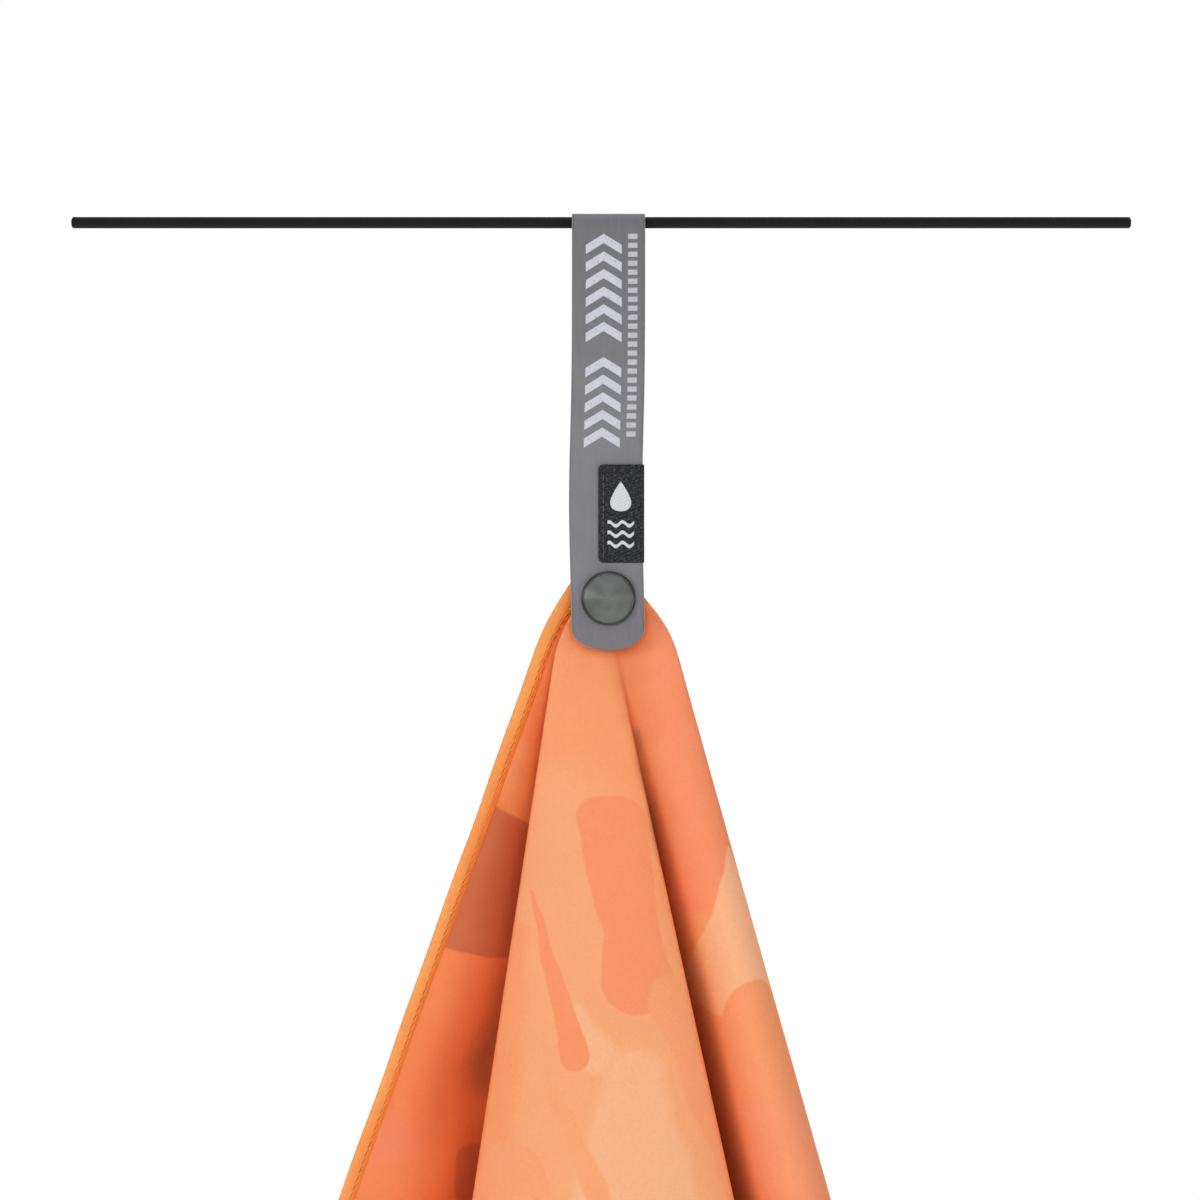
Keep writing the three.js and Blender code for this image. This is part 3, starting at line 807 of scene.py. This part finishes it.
TURNED_UNDER = 4.2  # mm, where one hem runs in under the next
runs = {  # where each hem starts and ends, and where its stitches start
    "long": (CORNER_TRIM, TOWEL_LENGTH - TURNED_UNDER, 12),
    "short": (16, TOWEL_WIDTH - TURNED_UNDER, 24),
    "lower": (0.3, TOWEL_WIDTH - 0.3, 4.3),
    "far": (0.3, TOWEL_LENGTH - TURNED_UNDER, 4.3),
}
hems = [hem(edge, start, end) for edge, (start, end, _) in runs.items()]
sewn = [stitches(edge, first, end - 2) for edge, (_, end, first) in runs.items()]
FACES_PER_STITCH = 26
print("stitches sewn:", sum(len(p.data.polygons) for p in sewn) // FACES_PER_STITCH)

# %% [markdown]
# ## The tape
#
# The loop is one length of smooth synthetic tape, 20 mm wide and 0.8 mm thick, cut with a hot die, so that its
# ends are round and its cut edge is paler than its face. It goes up behind the towel's corner, over the line
# and down in front. Worn tape is never quite straight: this one bows slightly to one side above the stud.
#
# It is one piece that bends over the line, so it turns smoothly from the back leg to the front leg.

# %% Tape material
TAPE_HALF = 10.0
TAPE_THICK = 0.8
LEG_Y = 3.8  # the middle of each leg
BEND_Z = -3.4
BACK_END = -111.0
FRONT_END = -118.7
TONGUE = 6.0
STUD_Z = -104.5

back_run = BEND_Z - BACK_END
bend_run = math.pi * LEG_Y
front_run = BEND_Z - FRONT_END
tape_run = back_run + bend_run + front_run


# the print on the front leg, in mm
PRINT_TOP = -5.0
CHEVRON_MIDDLE, CHEVRON_SLOPE, CHEVRON_PITCH = -1.3, 0.62, 4.8
DASH_MIDDLE, DASH_PITCH = 6.6, 2.45


def along_front(z):
    """Distance along the tape to a height on the front leg."""
    return back_run + bend_run + (BEND_Z - z)


def tape_print(w, x, s):
    """The pale print: a wide column of chevrons in two groups, and a narrow column of dashes. No lettering."""

    def between(value, low, high, soft=0.2):
        """1 between low and high."""
        return w.math("MULTIPLY", w.ramp(value, low, low + soft), w.ramp(value, high, high - soft))

    down = w.math("SUBTRACT", s, along_front(PRINT_TOP))
    from_middle = w.math("ABSOLUTE", w.math("SUBTRACT", x, CHEVRON_MIDDLE))
    wave = w.math("SUBTRACT", down, w.math("MULTIPLY", from_middle, CHEVRON_SLOPE))
    beat = w.math("FRACT", w.math("DIVIDE", wave, CHEVRON_PITCH))
    bars = w.math("MULTIPLY", w.ramp(beat, 0.0, 0.04), w.ramp(beat, 0.56, 0.52))
    length = w.math("MULTIPLY", w.ramp(wave, -0.1, 0.0), w.ramp(wave, 55.8, 55.6))
    column = w.math("MULTIPLY", w.ramp(from_middle, 5.0, 4.8), length)
    gap = between(wave, 28.0, 33.4)
    chevrons = w.math("MULTIPLY", w.math("MULTIPLY", bars, column), w.math("SUBTRACT", 1.0, gap))
    off = w.math("ABSOLUTE", w.math("SUBTRACT", x, DASH_MIDDLE))
    tick = w.math("FRACT", w.math("DIVIDE", down, DASH_PITCH))
    dashes = w.math("MULTIPLY", w.ramp(tick, 0.0, 0.06), w.ramp(tick, 0.64, 0.58))
    narrow = w.math("MULTIPLY", w.ramp(off, 1.35, 1.2), between(down, -0.6, 56.4))
    return w.math("MAXIMUM", chevrons, w.math("MULTIPLY", w.math("MULTIPLY", dashes, narrow), 0.8))


def tape_face(name, printed):
    material, w, shader, flat = new_material(name, Roughness=0.6)
    shader.inputs["Specular IOR Level"].default_value = 0.3
    x, s, _ = w.parts(flat)
    weave = w.group(plain_weave, Point=flat, Pitch=0.5)
    cloud = w.noise(flat, 0.11, 4.0, 0.55)
    streak = w.noise(w.vector("MULTIPLY", flat, (0.9, 0.12, 1.0)), 1.0, 3.0)
    grey = w.mix(w.ramp(s, along_front(-2), along_front(-70)), tone(115, 114, 118), tone(130, 129, 133))
    grey = w.mix(w.ramp(s, along_front(-98), along_front(-112)), grey, tone(120, 118, 123))
    grey = w.mix(w.math("MULTIPLY", w.ramp(cloud, 0.35, 0.65), 0.16), grey, tone(102, 100, 106))
    grey = w.mix(w.math("MULTIPLY", w.ramp(streak, 0.4, 0.7), 0.10), grey, tone(152, 151, 156))
    grey = w.mix(w.math("MULTIPLY", weave["Over"], 0.06), grey, tone(90, 89, 94))
    edge = w.ramp(w.math("ABSOLUTE", x), 9.2, 9.8)
    grey = w.mix(w.math("MULTIPLY", edge, 0.35), grey, tone(96, 95, 100))
    rubbed = w.ramp(w.noise(flat, 1.9, 3.0), 0.28, 0.40)
    ink = w.math("MULTIPLY", tape_print(w, x, s), w.math("MULTIPLY", rubbed, 0.95 if printed else 0.0))
    w.feed(shader.inputs["Base Color"], w.mix(ink, grey, tone(208, 210, 220)))
    w.feed(shader.inputs["Roughness"], w.ramp(ink, 0.0, 1.0, 0.62, 0.5))
    height = w.math("ADD", cloud, w.math("MULTIPLY", ink, 0.8))
    height = w.math("ADD", w.math("MULTIPLY", weave["Height"], 0.5), height)
    bumped(w, shader, height, 0.05, 0.5)
    return material


def tape_cut_edge():
    material, w, shader, flat = new_material("tape cut edge", Roughness=0.45)
    melt = w.ramp(w.noise(flat, 1.4, 4.0), 0.3, 0.7)
    w.feed(shader.inputs["Base Color"], w.mix(melt, tone(128, 127, 131), tone(176, 175, 178)))
    bumped(w, shader, melt, 0.08, 0.6)
    return material


tape_material = tape_face("tape", True)
tape_inner_material = tape_face("tape inner face", False)
tape_edge_material = tape_cut_edge()

# %% [markdown]
# ### Folding it into a loop
#
# One flat section with softened edges is carried along the tape's middle line. Its width runs out in a half
# round at both ends. It could be three straight pieces, but then the bend would show a step when it opens.

# %% The tape loop
BOW, BOW_Z, BOW_REACH = -0.8, -78.0, 26.0  # mm to the side, at which height, and how far up and down


def tape_bow(z):
    """How far the tape's middle is to the side at a height."""
    return BOW * np.exp(-(((z - BOW_Z) / BOW_REACH) ** 2))


def tape_middle(s):
    """The tape's middle line and the direction of its outer face, at distances from the back end."""
    turn = np.clip((s - back_run) / LEG_Y, 0, math.pi)
    up = np.minimum(s, back_run) - back_run
    down = np.maximum(s - back_run - bend_run, 0)
    z = BEND_Z + LEG_Y * np.sin(turn) + up - down
    y = LEG_Y * np.cos(turn)
    out = np.stack([0 * s, np.cos(turn), np.sin(turn)], -1)
    return np.stack([tape_bow(z), y, z], -1), out


def rounded_section(thick, soft):
    """The outline of a flat strip with softened edges: each point as a share across, a shift and a height."""
    half = thick / 2
    inner_shares = np.linspace(0, 1, 9)[1:-1]
    side = [(0.0, 0.0, -half + soft), (0.0, soft, -half), *[(t, 0.0, -half) for t in inner_shares]]
    side += [(1.0, -soft, -half), (1.0, 0.0, -half + soft)]
    other = [(share, shift, -lift) for share, shift, lift in reversed(side)]
    return np.array(side + other), len(side)


def ribbon(name, middle, out, side, low, high, thick, soft, along, materials):
    """A flat strip along a path. low and high are its edges' distances from the path, along side."""
    section, per_side = rounded_section(thick, soft)
    share, shift, lift = section[:, 0][None], section[:, 1][None], section[:, 2][None]
    room = np.minimum(1, (high - low) / (4 * soft))[:, None]
    place = low[:, None] + (high - low)[:, None] * share + shift * room
    points = middle[:, None] + place[..., None] * np.asarray(side)[None, None] + lift[..., None] * out[:, None]
    flat = np.stack(np.broadcast_arrays(place, along[:, None]), -1)
    which = np.zeros(len(section))
    if len(materials) > 2:
        which[:per_side] = 2
    which[[0, per_side - 2, per_side - 1, per_side, len(section) - 2, len(section) - 1]] = 1
    return swept(name, points, flat, materials, which, sharp=50)


def round_ends(run, tongue_length, samples=14):
    """Distances along a run, crowded towards its rounded ends."""
    ease = 1 - np.cos(np.linspace(0.04, math.pi / 2, samples))
    start = tongue_length * ease
    even = np.arange(tongue_length + 1.2, run - tongue_length, 1.2)
    return np.concatenate([start, even, (run - start)[::-1]])


s = round_ends(tape_run, TONGUE)
to_end = np.clip(np.minimum(s, tape_run - s) / TONGUE, 0, 1)
half_width = TAPE_HALF * np.sqrt(1 - (1 - to_end) ** 2)
middle, out = tape_middle(s)
strap = ribbon(
    "tape_loop", middle, out, (1, 0, 0), -half_width, half_width, TAPE_THICK, 0.14, s,
    [tape_material, tape_edge_material, tape_inner_material],
)
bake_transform(strap)
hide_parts("strap_bend", "strap_back_leg", "strap_front_leg")
print("length of tape:", round(tape_run, 1), "mm")

# %% [markdown]
# ## The bar tack
#
# The back leg is sewn to the corner as well as riveted. A sewing machine makes a bar tack in one go: it lays a
# few straight stitches first and then covers them with a close zigzag. It lies flat on the back of the tape.

# %% Bar tack on the back leg
tape_thread_material = sewing_thread("tape thread", tone(150, 149, 154), tone(84, 83, 88))
ZIGZAGS = 26
TACK_WIDE, TACK_HIGH, TACK_Z = 9.0, 1.56, -96.4
TACK_Y = 4.36  # just off the back leg's outer face
zig = np.arange(2 * ZIGZAGS + 1)
tack_x = -TACK_WIDE / 2 + TACK_WIDE * zig / zig[-1]
tack_z = TACK_Z + TACK_HIGH / 2 * np.where(zig % 2, 1, -1)
fine = np.linspace(0, zig[-1], 6 * zig[-1] + 1)
tack_y = TACK_Y + 0.06 * np.cos(np.pi * fine)
zigzag = np.stack([np.interp(fine, zig, tack_x), tack_y, np.interp(fine, zig, tack_z)], -1)
level = np.full(len(fine), TACK_Z)
bars = np.stack([np.linspace(-TACK_WIDE / 2, TACK_WIDE / 2, len(fine)), 0 * level + TACK_Y - 0.08, level], -1)
tack_paths = np.stack([zigzag, bars + [0, 0, 0.35], bars - [0, 0, 0.35]])
tack_paths[..., 0] += tape_bow(TACK_Z)
tack_ups = np.zeros_like(tack_paths)
tack_ups[..., 1] = 1
tack = threads("tape_bar_tack", tack_paths, tack_ups, 0.17, tape_thread_material)
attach(tack, "towel")
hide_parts("strap_bar_tack")

# %% [markdown]
# ## The woven label
#
# The label is a strip of dark jacquard ribbon. It is folded round the tape's edge and sewn down through its
# left side. A jacquard shows its mark as raised pale yarn. Here the mark is a drop over three ripples, which
# says "dries fast" without any lettering.

# %% Label material
LABEL_TOP, LABEL_BOTTOM = -68.0, -94.8
LABEL_LEFT = -2.0
MARK_X, DROP_Z = 4.1, -76.2  # the mark's middle, and the middle of its drop
RIPPLES = (-84.2, -87.0, -89.8)


def label_mark(w, x, z):
    """A drop over three ripples, as a mask."""
    px = w.math("DIVIDE", w.math("SUBTRACT", x, MARK_X), 5.4)
    pz = w.math("DIVIDE", w.math("SUBTRACT", z, DROP_Z), 4.6)
    from_top = w.math("MAXIMUM", w.math("SUBTRACT", 1.0, pz), 0.0)
    from_foot = w.math("MAXIMUM", w.math("ADD", 1.0, pz), 0.0)
    bulge = w.math("MULTIPLY", w.math("POWER", from_top, 3.0), from_foot)
    inside = w.math("SUBTRACT", w.math("MULTIPLY", bulge, 0.17), w.math("MULTIPLY", px, px))
    mask = w.ramp(inside, 0.0, 0.012)
    within = w.ramp(w.math("ABSOLUTE", w.math("SUBTRACT", x, MARK_X)), 3.7, 3.5)
    swell = w.math("MULTIPLY", w.math("SINE", w.math("MULTIPLY", x, 1.7)), 0.55)
    for level in RIPPLES:
        off = w.math("ABSOLUTE", w.math("SUBTRACT", z, w.math("ADD", level, swell)))
        mask = w.math("MAXIMUM", mask, w.math("MULTIPLY", w.ramp(off, 0.55, 0.42), within))
    return mask


def woven_label():
    material, w, shader, flat = new_material("label", Roughness=0.8, Sheen_Weight=0.05)
    shader.inputs["Specular IOR Level"].default_value = 0.2
    z, x, _ = w.parts(flat)
    face = w.ramp(x, 12.4, 12.2)
    mark = w.math("MULTIPLY", label_mark(w, w.math("ADD", x, LABEL_LEFT), z), face)
    weave = w.group(plain_weave, Point=flat, Pitch=0.9, Slant=0.6)
    speck = w.ramp(w.noise(flat, 1.5, 3.0, 0.7), 0.46, 0.70)
    dark = w.mix(weave["Over"], tone(20, 21, 23), tone(46, 47, 50))
    dark = w.mix(w.math("MULTIPLY", speck, 0.45), dark, tone(112, 113, 117))
    pale = w.mix(w.math("MULTIPLY", weave["Over"], 0.25), tone(222, 223, 226), tone(170, 171, 175))
    w.feed(shader.inputs["Base Color"], w.mix(mark, dark, pale))
    height = w.math("ADD", weave["Height"], w.math("MULTIPLY", mark, 0.8))
    bumped(w, shader, height, 0.10, 0.8)
    return material


label_material = woven_label()

# %% [markdown]
# ### Folding the label round the edge
#
# The same flat strip is bent tightly round the tape's right edge, with a short return behind. Its corners are
# cut round so that they don't fray. Then it is sewn down with small upright stitches near its left side.

# %% The label
# its path goes from the left edge on the face, round the tape's edge, to the return behind
FACE_Y, RETURN_Y, TURN_X = -4.55, -3.0, 9.6
LABEL_THICK = 0.36
LABEL_CORNER = 1.4  # how far in its cut corners are rounded
LABEL_STEP = 0.35
label_round = (RETURN_Y - FACE_Y) / 2
face_run = TURN_X - LABEL_LEFT
turn_run = math.pi * label_round
return_run = 6.2
label_run = face_run + turn_run + return_run
first_part = round_ends(2 * face_run, LABEL_CORNER)[:14]
ls = np.concatenate([first_part, np.arange(1.8, label_run + 0.01, LABEL_STEP)])
turn = np.clip((ls - face_run) / label_round, 0, math.pi)
back = np.maximum(ls - face_run - turn_run, 0)
label_x = LABEL_LEFT + np.minimum(ls, face_run) + label_round * np.sin(turn) - back
label_y = (FACE_Y + RETURN_Y) / 2 - label_round * np.cos(turn)
label_x = label_x + tape_bow((LABEL_TOP + LABEL_BOTTOM) / 2)
label_middle = np.stack([label_x, label_y, 0 * ls], -1)
label_out = np.stack([np.sin(turn), -np.cos(turn), 0 * ls], -1)
corner = np.clip(ls / LABEL_CORNER, 0, 1)
cut_back = LABEL_CORNER * (1 - np.sqrt(1 - (1 - corner) ** 2))
label = ribbon(
    "label_ribbon", label_middle, label_out, (0, 0, 1), LABEL_BOTTOM + cut_back, LABEL_TOP - cut_back,
    LABEL_THICK, 0.1, ls, [label_material, label_material],
)
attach(label, "flap")
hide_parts("woven_label")

SEAM_X, SEAM_Y, SEAM_STITCH = -1.45, -4.6, 2.1
seam_z = np.arange(LABEL_BOTTOM + 1.3, LABEL_TOP - 2.4, SEAM_STITCH)[:, None]
t = np.array([0.03, 0.2, 0.5, 0.8, 0.97])
seam_rise = np.array([0.05, 0.2, 0.27, 0.2, 0.05])
seam = np.stack(np.broadcast_arrays(SEAM_X + 0 * t[None], SEAM_Y - seam_rise[None], seam_z + 1.8 * t), -1)
seam_ups = np.zeros_like(seam)
seam_ups[..., 1] = -1
label_seam_material = sewing_thread("label thread", tone(104, 104, 108), tone(46, 46, 50))
label_seam = threads("label_seam", seam, seam_ups, 0.16, label_seam_material)
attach(label_seam, "flap")
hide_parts("label_stitch")

# %% [markdown]
# ## The press stud
#
# A press stud is four turned metal parts. The cap and socket are riveted to the front leg. The post and stud
# are riveted through the back leg and the towel's corner. A split spring ring in the socket grips the stud's
# bulb. The cap is pressed from sheet, so it has a low dome and a rolled rim, and is painted grey.

# %% Metal materials
def painted_cap():
    material, w, shader, flat = new_material(
        "cap paint", Metallic=0.7, Roughness=0.42, Anisotropic=0.85, Anisotropic_Rotation=0.25
    )
    r, _, _ = w.parts(flat)
    where = w.add("ShaderNodeTexCoord").outputs["Object"]
    grain = w.noise(where, 2600.0, 3.0, 0.6)
    cloud = w.noise(where, 260.0, 3.0, 0.6)
    base = w.mix(w.ramp(cloud, 0.35, 0.65), tone(104, 108, 104), tone(95, 98, 95))
    # the rolled rim is darker: partly its own darker paint, partly painted shade where it curves away
    ring = w.math("MULTIPLY", w.ramp(r, 6.5, 6.9), 0.75)
    base = w.mix(ring, base, tone(44, 44, 44))
    worn = w.math("MULTIPLY", w.ramp(grain, 0.62, 0.72), 0.25)
    w.feed(shader.inputs["Base Color"], w.mix(worn, base, tone(168, 170, 168)))
    w.feed(shader.inputs["Roughness"], w.ramp(grain, 0.3, 0.7, 0.36, 0.46))
    w.feed(shader.inputs["Tangent"], w.add("ShaderNodeTangent", direction_type="RADIAL", axis="Y").outputs[0])
    bumped(w, shader, w.math("ADD", grain, cloud), 0.010, 0.5)
    return material


def nickel_steel():
    material, w, shader, flat = new_material("steel", Metallic=1.0, Roughness=0.28)
    r, _, _ = w.parts(flat)
    where = w.add("ShaderNodeTexCoord").outputs["Object"]
    rings = w.noise(w.joined(r), 7.0, 3.0, 0.7)
    scuff = w.noise(where, 900.0, 4.0, 0.65)
    base = w.mix(w.ramp(scuff, 0.35, 0.7), tone(196, 196, 194), tone(158, 158, 156))
    w.feed(shader.inputs["Base Color"], base)
    w.feed(shader.inputs["Roughness"], w.ramp(scuff, 0.3, 0.7, 0.2, 0.42))
    bumped(w, shader, w.math("ADD", rings, scuff), 0.02, 0.5)
    return material


cap_material = painted_cap()
steel_material = nickel_steel()


# %% [markdown]
# ### Turning the parts
#
# Each part is round, so one profile from its axis to its rim, turned about the axis, makes it. The rolled and
# curled edges are small arcs in the profile, because a sharp edge would neither snap nor catch the light.

# %% The press stud
def arc(centre, radius, start, end, count=8):
    """Profile points on an arc, angles in degrees, 0 along the radius and 90 towards the back."""
    turn = np.radians(np.linspace(start, end, count))
    return [(centre[0] + radius * math.cos(t), centre[1] + radius * math.sin(t)) for t in turn]


CAP_FRONT, CAP_BACK, CAP_RADIUS = -6.4, -4.5, 7.4
ROLL = 0.62
dome_edge = CAP_RADIUS - ROLL
dome_drop = 0.75
dome_radius = (dome_edge**2 + dome_drop**2) / (2 * dome_drop)
dome_centre = CAP_FRONT + dome_radius
dome = [(r, dome_centre - math.sqrt(dome_radius**2 - r * r)) for r in np.linspace(0, dome_edge - 0.25, 18)]
cap = turned(
    "stud_cap",
    [
        *dome,
        (dome_edge - 0.12, CAP_FRONT + dome_drop + 0.06),
        *arc((dome_edge, CAP_FRONT + dome_drop + ROLL), ROLL, -88, 90, 12),
        (dome_edge - 0.4, CAP_BACK),
        (1.6, CAP_BACK),
        (1.6, -2.8),
        (1.4, -2.7),
        (0, -2.7),
    ],
    [cap_material],
)
socket = turned(
    "stud_socket",
    [
        (1.9, -3.1), (5.2, -3.1), *arc((5.2, -2.8), 0.3, -90, 60, 5), (4.6, -2.35), (4.1, -2.1), (3.95, -1.2),
        *arc((3.6, -1.1), 0.2, 0, 180, 6), (3.15, -1.2), (3.1, -2.5), (1.9, -2.5),
    ],
    [steel_material],
)
stud = turned(
    "stud_ball",
    [
        (0, -2.2), (1.6, -2.2), *arc((1.9, -1.8), 0.4, -90, 0, 6), (2.3, -1.6), (2.0, -1.45), (1.7, -1.35),
        (1.7, -0.75), *arc((1.85, -0.75), 0.15, 180, 90, 4), (3.6, -0.6), *arc((3.6, -0.4), 0.2, -90, 0, 5),
        (3.8, 0.05), (3.6, 0.2), (1.3, 0.2), (1.3, -1.05), (0, -1.05),
    ],
    [steel_material],
)
post = turned(
    "stud_post",
    [
        (0, -0.75), (0.85, -0.75), (1.0, -0.6), (1.0, 4.32), (5.5, 4.32), *arc((5.6, 4.72), 0.4, -80, 80, 9),
        (4.9, 5.22), (4.4, 5.06), (3.2, 5.0), (2.4, 5.16), (1.2, 5.24), (0, 5.26),
    ],
    [steel_material],
)
RING_RADIUS, RING_Y, WIRE = 2.26, -1.08, 0.17
gap_angle = math.radians(14)
spin = np.linspace(gap_angle, 2 * math.pi - gap_angle, 60)
ring_x, ring_z = RING_RADIUS * np.cos(spin), STUD_Z + RING_RADIUS * np.sin(spin)
ring_path = np.stack([ring_x, np.full(len(spin), RING_Y), ring_z], -1)[None]
ring_ups = np.zeros_like(ring_path)
ring_ups[..., 1] = 1
spring = threads("stud_spring_ring", ring_path, ring_ups, WIRE, steel_material, sides=10, blunt=1.0)
for piece, body, node, finish in (
    (cap, "flap", "snap_cap", "cap"),
    (socket, "flap", "snap_socket", "steel"),
    (spring, "flap", "snap_spring", "steel"),
    (stud, "towel", "snap_stud", "steel"),
    (post, "towel", "snap_post", "steel"),
):
    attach(piece, body)
    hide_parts(node)

# %% [markdown]
# ## What the cloth is
#
# The sheet was cut to 400 by 800 mm before it was hung. Its hems and stitches go with it.

# %% [markdown]
# ## The room
#
# The towel is seen against white, under soft studio light from the front and a little to the left. A plain
# dark line carries it. The floor is far below and pale. None of this is part of the towel.

# %% Line and floor
def cord_cover():
    material, w, shader, flat = new_material("line", Roughness=0.6)
    shader.inputs["Specular IOR Level"].default_value = 0.15
    weave = w.group(plain_weave, Point=flat, Pitch=0.8, Slant=0.8)
    w.feed(shader.inputs["Base Color"], w.mix(weave["Over"], tone(14, 14, 15), tone(24, 24, 26)))
    bumped(w, shader, weave["Height"], 0.05, 0.5)
    return material


def pale_floor():
    material, w, shader, _ = new_material("floor", Roughness=0.8, Emission_Strength=0.62)
    shader.inputs["Emission Color"].default_value = (1, 1, 1, 1)
    where = w.add("ShaderNodeTexCoord").outputs["Object"]
    cloud = w.noise(where, 3.0, 4.0)
    grain = w.noise(where, 180.0, 3.0)
    base = w.mix(w.ramp(cloud, 0.3, 0.7), tone(236, 235, 232), tone(228, 227, 224))
    w.feed(shader.inputs["Base Color"], base)
    bumped(w, shader, grain, 0.4, 0.2)
    return material


LINE_RADIUS = 1.55
FLOOR_Z, FLOOR_THICK, FLOOR_RADIUS, FLOOR_SIDES = -1030.0, 10.0, 2300, 96
line_x = np.array([-147.0, -146.6, *np.linspace(-146, 142, 40), 142.6, 143.0])
line_path = np.stack([line_x, 0 * line_x, np.full(len(line_x), -LINE_RADIUS - 0.05)], -1)[None]
line_ups = np.zeros_like(line_path)
line_ups[..., 2] = 1
line = threads("line", line_path, line_ups, LINE_RADIUS, cord_cover(), sides=40, blunt=0.7)

turn = np.linspace(0, 2 * math.pi, FLOOR_SIDES, endpoint=False)
disc_x, disc_y = FLOOR_RADIUS * np.cos(turn), FLOOR_RADIUS * np.sin(turn)
levels = [np.stack([disc_x, disc_y, 0 * turn + z], -1) for z in (FLOOR_Z, FLOOR_Z - FLOOR_THICK)]
disc = np.concatenate(levels)
top_face = list(range(FLOOR_SIDES))
under_face = list(range(2 * FLOOR_SIDES - 1, FLOOR_SIDES - 1, -1))
side_faces = [
    [i, FLOOR_SIDES + i, FLOOR_SIDES + (i + 1) % FLOOR_SIDES, (i + 1) % FLOOR_SIDES]
    for i in range(FLOOR_SIDES)
]
disc_faces = [top_face, under_face, *side_faces]
floor = build("floor", disc, disc_faces, disc[:, :2], [pale_floor()])

# %% [markdown]
# ## The light
#
# Cloth shows its folds in broad light that comes a little from one side. A large soft front light and a smaller
# one at the left shape the pleats, and a weak one at the right keeps the far fold from going dark. One behind
# and one above serve the other views. The room's own light fills the shadows and stays weak, so that the
# valleys between the pleats go deep orange. Painted shade in the cloth's colour darkens them further.

# %% Light
def area_light(name, place, target, size, power):
    data = bpy.data.lights.new(name, "AREA")
    data.shape = "SQUARE"
    data.size = size
    data.energy = power
    lamp = bpy.data.objects.new(name, data)
    lamp.location = place
    lamp.rotation_euler = (Vector(target) - Vector(place)).to_track_quat("-Z", "Y").to_euler()
    bpy.context.scene.collection.objects.link(lamp)


area_light("key", (-1.25, -1.1, 0.15), (0, 0, -0.15), 0.6, 7.7)
area_light("front", (0.1, -1.7, 0.2), (0, 0, -0.2), 1.2, 9.0)
area_light("side", (1.4, -0.9, 0.0), (0, 0, -0.15), 0.5, 3.4)
area_light("back", (0.5, 1.6, 0.3), (0, 0, -0.4), 1.2, 13.0)
area_light("above", (0, 0.3, 1.7), (0, 0.2, -1), 2.4, 25.0)

ROOM_LIGHT = 0.185
world = bpy.data.worlds.new("white room")
world.use_nodes = True
bpy.context.scene.world = world
w = Wiring(world.node_tree)
seen = world.node_tree.nodes["Background"]
seen.inputs["Color"].default_value = (1, 1, 1, 1)
soft = w.add("ShaderNodeBackground", {"Color": (1.0, 0.99, 0.98, 1), "Strength": ROOM_LIGHT})
choose = w.add("ShaderNodeMixShader", {0: w.add("ShaderNodeLightPath").outputs["Is Camera Ray"]})
w.feed(choose.inputs[1], soft.outputs[0])
w.feed(choose.inputs[2], seen.outputs[0])
w.feed(world.node_tree.nodes["World Output"].inputs["Surface"], choose.outputs[0])
